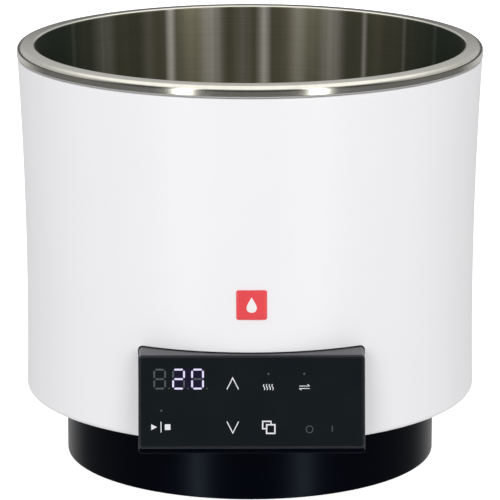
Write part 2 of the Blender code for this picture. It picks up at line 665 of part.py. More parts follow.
def make_plinth():
    """A cup stood on its rim: flat deck on top, flat rear side, posts inside for the base plate's screws."""
    outer = flatted_circle(PLINTH_RADIUS, REAR_FLAT)
    inner = flatted_circle(PLINTH_RADIUS - PLINTH_WALL, REAR_FLAT - PLINTH_WALL)
    tall = DECK_TOP - PLINTH_BOTTOM
    middle = (DECK_TOP + PLINTH_BOTTOM) / 2
    plinth = plate("plinth", outer, tall, (0.0, 0.0, middle), BLACK)
    bevel(plinth, PLINTH_EDGE)
    room = DECK_UNDER - PLINTH_BOTTOM + 2 * PAST
    hollow = plate(
        "plinth_hollow", inner, room, (0.0, 0.0, DECK_UNDER - room / 2), None, home=cutters
    )
    boolean(plinth, hollow)
    boolean(plinth, rod_cutter("deck_hole", DECK_HOLE, 4 * PAST, (0, 0, DECK_UNDER - 2 * PAST), 32))
    low = BASE_PLATE_TOP + GAP
    length = DECK_TOP - DECK_THICK / 2 - low
    for x, y in POST_PLACES:
        boolean(plinth, rod_cutter("post", POST_RADIUS, length, (x, y, low)), "UNION")
        boolean(plinth, rod_cutter("post_hole", SCREW_HOLE, POST_HOLE_DEPTH + PAST, (x, y, low - PAST), 12))
    for x, y in deck_screws():
        place = (x, y, DECK_UNDER - PAST)
        boolean(plinth, rod_cutter("deck_screw_hole", SCREW_HOLE, 3 * PAST, place, 12))
    flat = REAR_FLAT - PLINTH_WALL / 2
    inlet = (INLET_BODY[0] + 2 * GAP, 4 * PAST, INLET_BODY[1] + 2 * GAP)
    boolean(plinth, box_cutter("inlet_hole", inlet, (0.0, flat, INLET_HEIGHT)))
    back = (math.pi / 2, 0.0, 0.0)
    start = flat + 2 * PAST
    for x, radius in ((SYNC_X, SYNC_BODY + GAP), (BREAKER_X, BUSHING_RADIUS + GAP)):
        boolean(plinth, rod_cutter("rear_hole", radius, 4 * PAST, (x, start, INLET_HEIGHT), turn=back))


def deck_screws():
    """Where screws go up through the deck: four into the pan and two through the console's floor."""
    return PAN_SCREW_PLACES + [(x, -CONSOLE_SCREW_REACH) for x in (-CONSOLE_SCREW_X, CONSOLE_SCREW_X)]


def make_base_plate():
    reach = PLINTH_RADIUS - PLINTH_WALL - GAP
    outline = flatted_circle(reach, REAR_FLAT - PLINTH_WALL - GAP)
    middle = BASE_PLATE_BOTTOM + BASE_PLATE_THICK / 2
    base = plate("base_plate", outline, BASE_PLATE_THICK, (0.0, 0.0, middle), ZINC)
    for x, y in FOOT_PLACES:
        boolean(base, rod_cutter("stem_hole", FOOT_STEM + GAP, 2 * PAST, (x, y, middle - PAST), 16))
    for x, y in POST_PLACES:
        boolean(base, rod_cutter("plate_hole", SCREW_HOLE, 2 * PAST, (x, y, middle - PAST), 12))
    for i in range(VENT_COUNT):
        y = (i - (VENT_COUNT - 1) / 2) * VENT_PITCH + VENT_PLACE
        boolean(base, box_cutter("vent", (VENT_LENGTH, VENT_WIDTH, 2 * PAST), (0.0, y, middle)))


def make_feet():
    top = BASE_PLATE_BOTTOM - GAP
    profile = [(0.0, top + FOOT_STEM_RISE), (FOOT_STEM, top + FOOT_STEM_RISE), (FOOT_STEM, top)]
    profile += [(FOOT_RADIUS, top), (FOOT_RADIUS, FOOT_EDGE), (FOOT_RADIUS - FOOT_EDGE, 0.0), (0.0, 0.0)]
    for i, (x, y) in enumerate(FOOT_PLACES):
        turned(f"foot_{i + 1}", profile, RUBBER, place=(x, y, 0.0), steps=16)


def screw(name, length, place, coating=ZINC):
    """A pan-head screw put in from below, its head's top at the place."""
    profile = [(0.0, length), (SCREW_RADIUS - SCREW_TIP, length), (SCREW_RADIUS, length - SCREW_TIP)]
    profile += [(SCREW_RADIUS, 0.0), (SCREW_HEAD_RADIUS, 0.0)]
    profile += [(SCREW_HEAD_RADIUS - HEAD_EDGE, -SCREW_HEAD_HEIGHT), (0.0, -SCREW_HEAD_HEIGHT)]
    return turned(name, profile, coating, place=place, steps=12)


def make_screws():
    for i, (x, y) in enumerate(POST_PLACES):
        screw(f"base_screw_{i + 1}", BASE_SCREW_LENGTH, (x, y, BASE_PLATE_BOTTOM - GAP))
    length = PAN_TOP + PAN_SCREW_PROUD - DECK_UNDER
    for i, (x, y) in enumerate(deck_screws()):
        name = f"pan_screw_{i + 1}" if i < 4 else f"console_screw_{i - 3}"
        screw(name, length, (x, y, DECK_UNDER - GAP))


def make_chassis_pan():
    ring = [(ROD_HOLE, PAN_TOP), (PAN_RADIUS, PAN_TOP), (PAN_RADIUS, PAN_BOTTOM), (ROD_HOLE, PAN_BOTTOM)]
    pan = turned("chassis_pan", ring, ZINC, closed=True)
    middle = PAN_BOTTOM + PAN_THICK / 2
    front = (2 * PAN_RADIUS + 2 * PAST, PAN_RADIUS, 4 * PAST)
    boolean(pan, box_cutter("pan_front", front, (0.0, -PAN_FRONT - PAN_RADIUS / 2, middle)))
    for x, y in deck_screws():
        boolean(pan, rod_cutter("pan_hole", SCREW_HOLE, 2 * PAST, (x, y, middle - PAST), 12))


def make_heater():
    ring = [(HEATER_INNER, HEATER_TOP), (HEATER_OUTER, HEATER_TOP)]
    ring += [(HEATER_OUTER, HEATER_BOTTOM), (HEATER_INNER, HEATER_BOTTOM)]
    heater = turned("heater", ring, ALUMINIUM, closed=True)
    low = DISC_BOTTOM - TERMINAL_DROP
    length = (HEATER_TOP + HEATER_BOTTOM) / 2 - low
    for x in (-TERMINAL_X, TERMINAL_X):
        place = (x, TERMINAL_Y, low)
        boolean(heater, rod_cutter("terminal", TERMINAL_RADIUS, length, place, 12), "UNION")
    ring = [(ROD_HOLE, CLAMP_TOP), (CLAMP_RADIUS, CLAMP_TOP)]
    ring += [(CLAMP_RADIUS, CLAMP_BOTTOM), (ROD_HOLE, CLAMP_BOTTOM)]
    turned("clamp_plate", ring, ZINC, closed=True, steps=32)
    low = PAN_BOTTOM - NUT_HEIGHT - ROD_END
    rod("tie_rod", ROD_RADIUS, HEATER_TOP - low, (0.0, 0.0, low), ZINC, sides=16)
    nut("clamp_nut", CLAMP_BOTTOM - GAP)
    nut("tie_nut", PAN_BOTTOM - GAP)
    tall = HEATER_TOP - HEATER_BOTTOM
    rod("temperature_sensor", SENSOR_RADIUS, tall, (*SENSOR_PLACE, HEATER_BOTTOM), STAINLESS)
    rod("overheat_cutout", CUTOUT_RADIUS, tall, (*CUTOUT_PLACE, HEATER_BOTTOM), ALUMINIUM)


def nut(name, top, radius=NUT_RADIUS, height=NUT_HEIGHT, hole=ROD_RADIUS + GAP):
    """A six-sided nut on the tie rod, its top face at a height."""
    made = rod(name, radius, height, (0.0, 0.0, top - height), ZINC, sides=6)
    place = (0.0, 0.0, top - height - PAST)
    boolean(made, rod_cutter(name + "_hole", hole, height + 2 * PAST, place))


def make_insulation():
    ring = [(DISC_HOLE, DISC_TOP), (DISC_RADIUS, DISC_TOP)]
    ring += [(DISC_RADIUS, DISC_BOTTOM), (DISC_HOLE, DISC_BOTTOM)]
    disc = turned("insulation_disc", ring, WOOL, closed=True, steps=40)
    hole = TERMINAL_RADIUS + TERMINAL_CLEARANCE
    for x in (-TERMINAL_X, TERMINAL_X):
        place = (x, TERMINAL_Y, DISC_BOTTOM - PAST)
        boolean(disc, rod_cutter("terminal_hole", hole, DISC_THICK + 2 * PAST, place, 12))
    top = RIM_TOP - SLEEVE_TOP_DROP
    bend = RIM_TOP - TUB_DEPTH + TUB_CORNER
    slope = TUB_DRAFT / (RIM_TOP - MOUTH_ROUND - bend)
    near = [OPENING_RADIUS + TUB_WALL - slope * (RIM_TOP - MOUTH_ROUND - z) for z in (top, bend)]
    profile = [(near[0] + SLEEVE_GAP, top)]
    profile += shell_side(SHELL_WALL + SLEEVE_GAP, SLEEVE_BOTTOM, top, 4)
    profile += [(near[1] + SLEEVE_GAP, SLEEVE_BOTTOM), (near[1] + SLEEVE_GAP, bend)]
    turned("insulation_sleeve", profile, WOOL, closed=True)


def make_electronics():
    x, y = BOARD_PLACE
    low = PAN_TOP + GAP + STANDOFF_HEIGHT + GAP
    wide, deep, thick = BOARD_SIZE
    box("main_board", BOARD_SIZE, (x, y, low + thick / 2), GREEN)
    for i, (sx, sy) in enumerate(((-1, -1), (1, -1), (1, 1), (-1, 1))):
        place = (
            x + sx * (wide / 2 - STANDOFF_INSET),
            y + sy * (deep / 2 - STANDOFF_INSET),
            PAN_TOP + GAP,
        )
        rod(f"standoff_{i + 1}", STANDOFF_RADIUS, STANDOFF_HEIGHT, place, BRASS, sides=6)
    top = low + thick + GAP
    box("power_relay", RELAY_SIZE, (*RELAY_PLACE, top + RELAY_SIZE[2] / 2), BLACK)
    sink = box("heat_sink", SINK_SIZE, (*SINK_PLACE, top + SINK_SIZE[2] / 2), ALUMINIUM)
    pitch = SINK_SIZE[0] / (SINK_SLOTS + 1)
    slot = (pitch * SLOT_SHARE, SINK_SIZE[1] + 2 * PAST, SINK_SIZE[2])
    for i in range(SINK_SLOTS):
        across = SINK_PLACE[0] + (i - (SINK_SLOTS - 1) / 2) * pitch
        place = (across, SINK_PLACE[1], top + SINK_FLOOR + slot[2] / 2)
        boolean(sink, box_cutter("fin_slot", slot, place))
    seat = PAN_TOP + GAP
    core = box("transformer", TRANSFORMER_CORE, (*TRANSFORMER_PLACE, seat + TRANSFORMER_CORE[2] / 2), ZINC)
    coil = box_cutter(
        "transformer_coil", TRANSFORMER_COIL, (*TRANSFORMER_PLACE, seat + TRANSFORMER_CORE[2] / 2)
    )
    boolean(core, coil, "UNION")
    place = (*FILTER_PLACE, BASE_PLATE_TOP + GAP + FILTER_SIZE[2] / 2)
    box("line_filter", FILTER_SIZE, place, ZINC)


def make_leads():
    """Two sleeved leads from the heater's terminals to the relay, each a smooth curve in the open space."""
    start_z = DISC_BOTTOM - TERMINAL_DROP - 2 * GAP
    top = PAN_TOP + 2 * GAP + STANDOFF_HEIGHT + BOARD_SIZE[2] + GAP
    back = RELAY_PLACE[1] + RELAY_SIZE[1] / 2 + GAP
    for i, side in enumerate((-1, 1)):
        start = Vector((side * TERMINAL_X, TERMINAL_Y, start_z))
        end = Vector((RELAY_PLACE[0] + side * LEAD_PITCH / 2, back, top + LEAD_RISE))
        down = start - Vector((0.0, 0.0, LEAD_DOWN))
        near = end + Vector((0.0, LEAD_BACK, 0.0))
        points = [bezier(start, down, near, end, t / LEAD_POINTS) for t in range(LEAD_POINTS + 1)]
        curve = bpy.data.curves.new(f"heater_lead_{i + 1}", "CURVE")
        curve.dimensions = "3D"
        curve.bevel_depth = LEAD_RADIUS
        curve.bevel_resolution = 2
        curve.use_fill_caps = True
        spline = curve.splines.new("POLY")
        spline.points.add(len(points) - 1)
        for point, where in zip(spline.points, points):
            point.co = (*where, 1.0)
        curve.materials.append(WIRE)
        lead = bpy.data.objects.new(f"heater_lead_{i + 1}", curve)
        lead.parent = axis
        parts.objects.link(lead)


def bezier(a, b, c, d, t):
    s = 1.0 - t
    return a * s**3 + b * 3 * s * s * t + c * 3 * s * t * t + d * t**3


def make_inlet():
    """A flanged mains inlet with a socket above and a fuse drawer below, both open to the rear."""
    outside = REAR_FLAT + GAP
    place = (0.0, outside + INLET_FLANGE[2] / 2, INLET_HEIGHT)
    inlet = box("inlet_body", (INLET_FLANGE[0], INLET_FLANGE[2], INLET_FLANGE[1]), place, BLACK)
    reach = INLET_BODY[2] + GAP + INLET_FLANGE[2] / 2
    stem = box_cutter(
        "inlet_stem",
        (INLET_BODY[0], reach, INLET_BODY[1]),
        (0.0, outside + INLET_FLANGE[2] / 2 - reach / 2, INLET_HEIGHT),
    )
    boolean(inlet, stem, "UNION")
    front = outside + INLET_FLANGE[2]
    socket_z = INLET_HEIGHT + SOCKET_RISE
    socket = plate(
        "socket_hollow",
        rounded_rectangle(*SOCKET_SIZE, SOCKET_ROUND, (0, 1, 1, 0), 2),
        2 * SOCKET_DEPTH,
        (0.0, front, socket_z),
        None,
        turn=(math.pi / 2, 0.0, 0.0),
        home=cutters,
    )
    boolean(inlet, socket)
    floor = front - SOCKET_DEPTH
    for i, (x, z) in enumerate(((-PIN_SPREAD, -PIN_OFFSET), (0.0, PIN_OFFSET), (PIN_SPREAD, -PIN_OFFSET))):
        middle = (x, floor + GAP + PIN_SIZE[1] / 2, socket_z + z)
        box(f"inlet_pin_{i + 1}", PIN_SIZE, middle, BRASS)
    wide, deep, tall = DRAWER_SIZE
    grow = 2 * DRAWER_CLEARANCE
    drawer_z = INLET_HEIGHT - DRAWER_DROP
    room = (wide + grow, 2 * (deep + DRAWER_CLEARANCE), tall + grow)
    boolean(inlet, box_cutter("drawer_hollow", room, (0.0, front, drawer_z)))
    make_fuse_drawer(front, drawer_z)


def make_fuse_drawer(front, height):
    wide, deep, tall = DRAWER_SIZE
    place = (0.0, front + GAP + DRAWER_HANDLE[1] / 2, height)
    drawer = box("fuse_drawer", DRAWER_HANDLE, place, BLACK)
    tray = box_cutter("drawer_tray", (wide, deep, tall), (0.0, front + 2 * GAP - deep / 2, height))
    boolean(drawer, tray, "UNION")
    for i, back in enumerate(FUSE_PLACES):
        across = 2 * (FUSE_RADIUS + GAP)
        pocket = (FUSE_LENGTH + 2 * GAP, across, tall)
        y = front - back
        low = height - tall / 2 + TRAY_FLOOR
        boolean(drawer, box_cutter("fuse_pocket", pocket, (0.0, y, low + tall / 2)))
        place = (-FUSE_LENGTH / 2, y, low + GAP + FUSE_RADIUS)
        turn = (0.0, math.pi / 2, 0.0)
        rod(f"fuse_{i + 1}", FUSE_RADIUS, FUSE_LENGTH, place, CERAMIC, sides=12, turn=turn)


def make_rear_fittings():
    """The synchronising socket and the push-to-reset breaker, either side of the mains inlet."""
    outside = REAR_FLAT + GAP
    rearward = (-math.pi / 2, 0.0, 0.0)
    floor = SYNC_FLANGE_THICK - SYNC_DEPTH
    profile = [(0.0, -SYNC_LENGTH), (SYNC_BODY, -SYNC_LENGTH), (SYNC_BODY, 0.0), (SYNC_FLANGE, 0.0)]
    profile += [(SYNC_FLANGE, SYNC_FLANGE_THICK), (SYNC_HOLE, SYNC_FLANGE_THICK)]
    profile += [(SYNC_HOLE, floor), (0.0, floor)]
    place = (SYNC_X, outside, INLET_HEIGHT)
    turned("sync_socket", profile[::-1], BLACK, place=place, turn=rearward, steps=24)
    inside = REAR_FLAT - PLINTH_WALL - GAP
    wide, deep, tall = BREAKER_BODY
    breaker = box("breaker_body", (wide, deep, tall), (BREAKER_X, inside - deep / 2, INLET_HEIGHT), BLACK)
    length = BUSHING_PROUD + PLINTH_WALL + GAP + BUSHING_ROOT
    start = (BREAKER_X, inside - BUSHING_ROOT, INLET_HEIGHT)
    bushing = rod_cutter("bushing", BUSHING_RADIUS, length, start, 20, turn=rearward)
    boolean(breaker, bushing, "UNION")
    tip = inside - BUSHING_ROOT + length
    depth = BUTTON_TRAVEL + GAP + BUTTON_SEAT
    bottom = tip - depth
    place = (BREAKER_X, bottom, INLET_HEIGHT)
    bore = rod_cutter("bushing_bore", BUSHING_BORE, depth + 2 * PAST, place, turn=rearward)
    boolean(breaker, bore)
    seat = bottom + BUTTON_TRAVEL + GAP
    place = (BREAKER_X, seat, INLET_HEIGHT)
    button = rod("reset_button", BUTTON_RADIUS, tip + BUTTON_PROUD - seat, place, RED, turn=rearward)
    bevel(button, BUTTON_EDGE)
    place = (BREAKER_X, outside, INLET_HEIGHT)
    ring = rod("breaker_nut", BREAKER_NUT, BREAKER_NUT_THICK, place, ZINC, sides=6, turn=rearward)
    place = (BREAKER_X, outside - PAST, INLET_HEIGHT)
    hole = rod_cutter("breaker_nut_hole", BUSHING_RADIUS + GAP, 4 * PAST, place, 20, turn=rearward)
    boolean(ring, hole)


make_tub()
make_gasket()
make_shell()
make_console_housing()
make_console_front()
make_badge()
make_rocker()
make_plinth()
make_base_plate()
make_feet()
make_screws()
make_chassis_pan()
make_heater()
make_insulation()
make_electronics()
make_leads()
make_inlet()
make_rear_fittings()
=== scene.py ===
"""Looks of a heated water bath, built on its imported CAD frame.

Metres, +Z up, the console towards -Y. The sections follow the bath as it is put together, from the tub
outwards, and each holds one piece or a group of like pieces with their sizes, shapes and finishes.
"""

import math

import bmesh
import bpy
import numpy as np
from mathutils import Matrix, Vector


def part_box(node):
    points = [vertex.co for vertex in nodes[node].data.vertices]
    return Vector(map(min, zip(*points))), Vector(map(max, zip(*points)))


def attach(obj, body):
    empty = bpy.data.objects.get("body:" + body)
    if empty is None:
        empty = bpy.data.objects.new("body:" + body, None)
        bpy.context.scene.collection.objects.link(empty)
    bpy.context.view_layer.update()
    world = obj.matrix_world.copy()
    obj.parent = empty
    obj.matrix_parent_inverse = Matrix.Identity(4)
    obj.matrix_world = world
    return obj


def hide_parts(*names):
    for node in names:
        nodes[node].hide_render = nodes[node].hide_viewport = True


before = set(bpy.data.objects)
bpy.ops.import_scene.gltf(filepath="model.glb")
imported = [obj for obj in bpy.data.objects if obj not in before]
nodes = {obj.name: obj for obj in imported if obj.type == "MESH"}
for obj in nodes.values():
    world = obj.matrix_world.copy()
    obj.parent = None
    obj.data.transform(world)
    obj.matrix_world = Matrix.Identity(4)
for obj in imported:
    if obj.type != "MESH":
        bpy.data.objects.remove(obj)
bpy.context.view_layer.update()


# ---------------------------------------------------------------------------------------------- Tub
# One deep-drawn sheet of stainless steel. Its bore and floor are brushed round the axis on a lathe,
# and its rim is rolled outwards over the shell and polished. The profile is turned about the axis.

tub_low, tub_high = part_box("tub")
BATH_Y = (tub_low.y + tub_high.y) / 2  # the bath's upright axis stands at X = 0 and this Y
RIM_TOP = tub_high.z
RIM_RADIUS = tub_high.x
RIM_WIDTH = 0.0104
MOUTH_RADIUS = RIM_RADIUS - RIM_WIDTH
TUB_SHEET = 0.001
TUB_UNDER = tub_low.z
TUB_FLOOR = TUB_UNDER + TUB_SHEET
TUB_TAPER = 0.004
TUB_FLOOR_RADIUS = MOUTH_RADIUS - TUB_TAPER
TUB_CORNER = 0.018
MOUTH_ROUND = 0.0013
LIP_ROUND = 0.003
LIP_DEPTH = 0.0055
LIP_BOTTOM = RIM_TOP - LIP_DEPTH
RIM_FALL = 0.0002  # how far the flat of the rim falls from its inner to its outer edge
POLISH_START = 0.0002  # how far outside the mouth the polish starts
TURNED_SIDES = 320
WELD = 0.0000002  # points closer than this become one


def arc(centre_r, centre_z, radius, start, end, count):
    """Points (r, z) at centre + radius (cos a, sin a), with a from start to end in degrees."""
    turn = np.radians(np.linspace(start, end, count + 1))
    return np.stack([centre_r + radius * np.cos(turn), centre_z + radius * np.sin(turn)], axis=1)


def run(start, end, count):
    """Points on the straight line from start to end, without its two ends."""
    share = np.linspace(0.0, 1.0, count + 2)[1:-1, None]
    return np.array(start) * (1.0 - share) + np.array(end) * share


def smooth_by_angle(mesh, angle=32.0):
    """Smooth shading, broken where two faces meet at more than the angle in degrees."""
    mesh.shade_smooth()
    mesh.set_sharp_from_angle(angle=math.radians(angle))


def full_turn(count):
    """Angles once round, evenly apart."""
    return np.linspace(0.0, 2.0 * math.pi, count, endpoint=False)


def added(name, data):
    """A new object in the scene."""
    made = bpy.data.objects.new(name, data)
    bpy.context.scene.collection.objects.link(made)
    return made


def mesh_piece(name, points, faces, weld=0.0):
    """A piece from its points and faces, with the faces turned outwards."""
    mesh = bpy.data.meshes.new(name)
    mesh.from_pydata(points, [], faces)
    work = bmesh.new()
    work.from_mesh(mesh)
    if weld:
        bmesh.ops.remove_doubles(work, verts=work.verts, dist=weld)
    bmesh.ops.recalc_face_normals(work, faces=work.faces)
    work.to_mesh(mesh)
    work.free()
    return added(name, mesh)


def ring_grid(name, rings, closed=False):
    """A surface through rings x points x (x, y, z), each ring closed on itself.

    A closed grid joins its last ring to its first. An open one is filled to the middle of its end rings.
    Points that fall together, as at a pole, are welded.
    """
    rings = np.asarray(rings, float)
    if not closed:
        caps = np.broadcast_to(rings[[0, -1]].mean(axis=1, keepdims=True), (2,) + rings.shape[1:])
        rings = np.concatenate([caps[:1], rings, caps[1:]])
    count, sides = rings.shape[:2]
    ring, side = np.meshgrid(np.arange(count if closed else count - 1), np.arange(sides), indexing="ij")
    next_ring, next_side = (ring + 1) % count, (side + 1) % sides
    corners = (ring * sides + side, ring * sides + next_side, next_ring * sides + next_side)
    faces = np.stack(corners + (next_ring * sides + side,), axis=-1).reshape(-1, 4)
    made = mesh_piece(name, rings.reshape(-1, 3).tolist(), faces.tolist(), WELD)
    smooth_by_angle(made.data)
    return made


def turned(name, profile, centre=(0.0, BATH_Y), sides=TURNED_SIDES):
    """A closed loop of (r, z) points turned about an upright axis: x = cx + r cos a, y = cy + r sin a."""
    turn = full_turn(sides)
    r, z = profile[:, :1], profile[:, 1:]
    x, y = centre[0] + r * np.cos(turn), centre[1] + r * np.sin(turn)
    return ring_grid(name, np.stack([x, y, z + 0.0 * turn], axis=-1), closed=True)


def tub_profile():
    """Inside from the floor's middle up to the mouth, over the rim, and back down the outside."""
    bend = TUB_FLOOR_RADIUS - TUB_CORNER
    roll = (MOUTH_RADIUS + MOUTH_ROUND, RIM_TOP - MOUTH_ROUND)
    lip = (RIM_RADIUS - LIP_ROUND, RIM_TOP - LIP_ROUND - RIM_FALL)
    under = run((0.0, TUB_UNDER), (bend, TUB_UNDER), 6)
    return np.concatenate([
        run((0.0, TUB_FLOOR), (bend, TUB_FLOOR), 7),
        arc(bend, TUB_FLOOR + TUB_CORNER, TUB_CORNER, -90, 0, 14),
        run((TUB_FLOOR_RADIUS, TUB_FLOOR + TUB_CORNER), (MOUTH_RADIUS, roll[1]), 14),
        arc(*roll, MOUTH_ROUND, 180, 90, 10),
        run((roll[0], RIM_TOP), (lip[0], lip[1] + LIP_ROUND), 7),
        arc(*lip, LIP_ROUND, 90, 0, 12),
        [(RIM_RADIUS, LIP_BOTTOM), (RIM_RADIUS - TUB_SHEET, LIP_BOTTOM)],
        arc(*lip, LIP_ROUND - TUB_SHEET, 0, 90, 8),
        arc(*roll, MOUTH_ROUND - TUB_SHEET, 90, 180, 6),
        arc(bend, TUB_FLOOR + TUB_CORNER, TUB_CORNER + TUB_SHEET, 0, -90, 10),
        under[::-1],
        [(0.0, TUB_UNDER), (0.0, TUB_FLOOR)],
    ])


def finish(name, colour, roughness, metallic=0.0, specular=0.5):
    """A material, its node tree and its Principled shader, with the values that are the same all over."""
    made = bpy.data.materials.new(name)
    made.use_nodes = True
    shader = made.node_tree.nodes["Principled BSDF"]
    shader.inputs["Base Color"].default_value = (*colour, 1.0)
    shader.inputs["Roughness"].default_value = roughness
    shader.inputs["Metallic"].default_value = metallic
    shader.inputs["Specular IOR Level"].default_value = specular
    return made, made.node_tree, shader


def node(tree, kind, inputs=(), **settings):
    """A shader node with its settings; inputs pairs a socket's name or number with a value or a source."""
    made = tree.nodes.new("ShaderNode" + kind)
    for name, value in settings.items():
        setattr(made, name, value)
    for label, value in dict(inputs).items():
        socket = made.inputs[label]
        if isinstance(value, bpy.types.NodeSocket):
            tree.links.new(value, socket)
        else:
            socket.default_value = (*value, 1.0) if socket.type == "RGBA" else value
    return made


def feed(shader, sources):
    """Links each source to the socket of its name."""
    for label, source in sources.items():
        shader.id_data.links.new(source, shader.inputs[label])


def maths(tree, operation, first, second=0.0, third=0.0, **settings):
    """The outcome of an operation on one, two or three numbers."""
    return node(tree, "Math", {0: first, 1: second, 2: third}, operation=operation, **settings).outputs[0]


def vector_maths(tree, operation, *vectors):
    """The outcome of an operation on one or two vectors."""
    return node(tree, "VectorMath", dict(enumerate(vectors)), operation=operation).outputs[0]


def ramp(tree, value, start, end, low=0.0, high=1.0, interpolation="SMOOTHSTEP"):
    """The low up to the start and the high past the end, with a soft or a straight change between."""
    limits = {"Value": value, "From Min": start, "From Max": end, "To Min": low, "To Max": high}
    return node(tree, "MapRange", limits, interpolation_type=interpolation).outputs["Result"]


def between(tree, share, low, high):
    """The share, from 0 to 1, carried to a value from low to high."""
    return ramp(tree, share, 0.0, 1.0, low, high, "LINEAR")


def blended(tree, share, first, second):
    """A colour that goes from the first to the second as the share goes from 0 to 1."""
    return node(tree, "Mix", {0: share, 6: first, 7: second}, data_type="RGBA").outputs[2]


def raise_by(shader, height, distance):
    """Feeds a height of 0 to 1 into the shader's normal, the distance in metres."""
    bump = node(shader.id_data, "Bump", {"Height": height, "Distance": distance})
    feed(shader, {"Normal": bump.outputs["Normal"]})


def new_group(name, inputs, outputs):
    """An empty shader node group with named number inputs, each with a first value, and number outputs."""
    group = bpy.data.node_groups.new(name, "ShaderNodeTree")
    for label, value in inputs.items():
        socket = group.interface.new_socket(label, in_out="INPUT", socket_type="NodeSocketFloat")
        socket.default_value = value
    for label in outputs:
        group.interface.new_socket(label, in_out="OUTPUT", socket_type="NodeSocketFloat")
    return group, group.nodes.new("NodeGroupInput"), group.nodes.new("NodeGroupOutput")


def from_axis(tree):
    """The place as seen from the foot of the bath's axis."""
    place = node(tree, "TexCoord").outputs["Object"]
    return vector_maths(tree, "SUBTRACT", place, (0.0, BATH_Y, 0.0))


def make_lathe_lines():
    """Marks left by brushing round the axis.

    Lines is noise that is long round the axis and fine along the profile. Bands is soft noise of the
    direction from the axis alone, as a drawn sheet is never quite round; in the bore's colour it paints
    reflections.
    """
    first_values = {"Line Pitch": 0.0004, "Bands Round": 9.0}
    group, given, result = new_group("lathe_lines", first_values, ("Lines", "Bands"))
    place = from_axis(group)
    flat = vector_maths(group, "MULTIPLY", place, (1.0, 1.0, 0.0))
    reach = node(group, "VectorMath", {0: flat}, operation="LENGTH").outputs["Value"]
    aim = vector_maths(group, "NORMALIZE", flat)
    height = node(group, "SeparateXYZ", {0: place}).outputs["Z"]
    fine = maths(group, "DIVIDE", maths(group, "SUBTRACT", height, reach), given.outputs["Line Pitch"])
    wide = node(group, "VectorMath", {0: aim, "Scale": 2.2}, operation="SCALE").outputs[0]
    values = {"Vector": wide, "W": fine, "Scale": 1.0, "Detail": 3.0, "Roughness": 0.6}
    lines = node(group, "TexNoise", values, noise_dimensions="4D")
    values = {"Vector": aim, "Scale": given.outputs["Bands Round"], "Detail": 2.0, "Roughness": 0.55}
    bands = node(group, "TexNoise", values)
    feed(result, {"Lines": lines.outputs["Fac"], "Bands": bands.outputs["Fac"]})
    return group


lathe_lines = make_lathe_lines()


def lathed(tree, line_pitch, bands_round):
    """The lines and the bands of a lathe, with the lines' pitch in metres and the bands' scale."""
    values = {"Line Pitch": line_pitch, "Bands Round": bands_round}
    marks = node(tree, "Group", values, node_tree=lathe_lines)
    return marks.outputs["Lines"], marks.outputs["Bands"]


def round_the_axis(tree):
    """The direction round the bath's axis, which brushed steel spreads its highlights across."""
    across = vector_maths(tree, "CROSS_PRODUCT", (0.0, 0.0, 1.0), from_axis(tree))
    return vector_maths(tree, "NORMALIZE", across)


# Painted highlights in the bore, where it bounces light back brightest: the turn from straight behind the
# axis and half the width, in degrees, and the strength.
PAINTED_STREAKS = (
    (-58.0, 1.6, 0.1), (-45.0, 6.0, 0.24), (-30.0, 4.0, 0.12), (-22.8, 2.1, 0.85), (-10.5, 5.0, 0.5),
    (-1.5, 3.5, 0.22), (4.3, 2.8, 0.8), (14.0, 4.0, 0.2), (24.5, 5.5, 0.45), (34.6, 1.5, 0.6),
    (49.0, 1.1, 0.25), (63.0, 1.6, 0.1),
)
# The turns, either way from straight behind the axis, where the painted shade at the bore's sides comes and
# goes.
PAINTED_SHADE_GROWS = (math.radians(36.0), math.radians(66.0))
PAINTED_SHADE_FALLS = (math.radians(84.0), math.radians(112.0))


def make_painted_streaks():
    """Painted light in the bore: upright stripes of painted highlight, and painted shade towards its sides.

    The first output is the sum of strength (1 - smoothstep(|turn - middle| / half)), and the second grows
    from 0 behind the axis to 1 beside it and falls to 0 before it.
    """
    group, _, result = new_group("painted_streaks", {}, ("Painted Streak", "Side"))
    apart = node(group, "SeparateXYZ", {0: from_axis(group)}).outputs
    turn = maths(group, "ARCTAN2", apart["X"], apart["Y"])
    total = 0.0
    for middle, half, strength in PAINTED_STREAKS:
        off = maths(group, "ABSOLUTE", maths(group, "SUBTRACT", turn, math.radians(middle)))
        total = maths(group, "ADD", ramp(group, off, 0.0, math.radians(half), strength, 0.0), total)
    aside = maths(group, "ABSOLUTE", turn)
    side = ramp(group, aside, *PAINTED_SHADE_FALLS, ramp(group, aside, *PAINTED_SHADE_GROWS), 0.0)
    feed(result, {"Painted Streak": total, "Side": side})
    return group


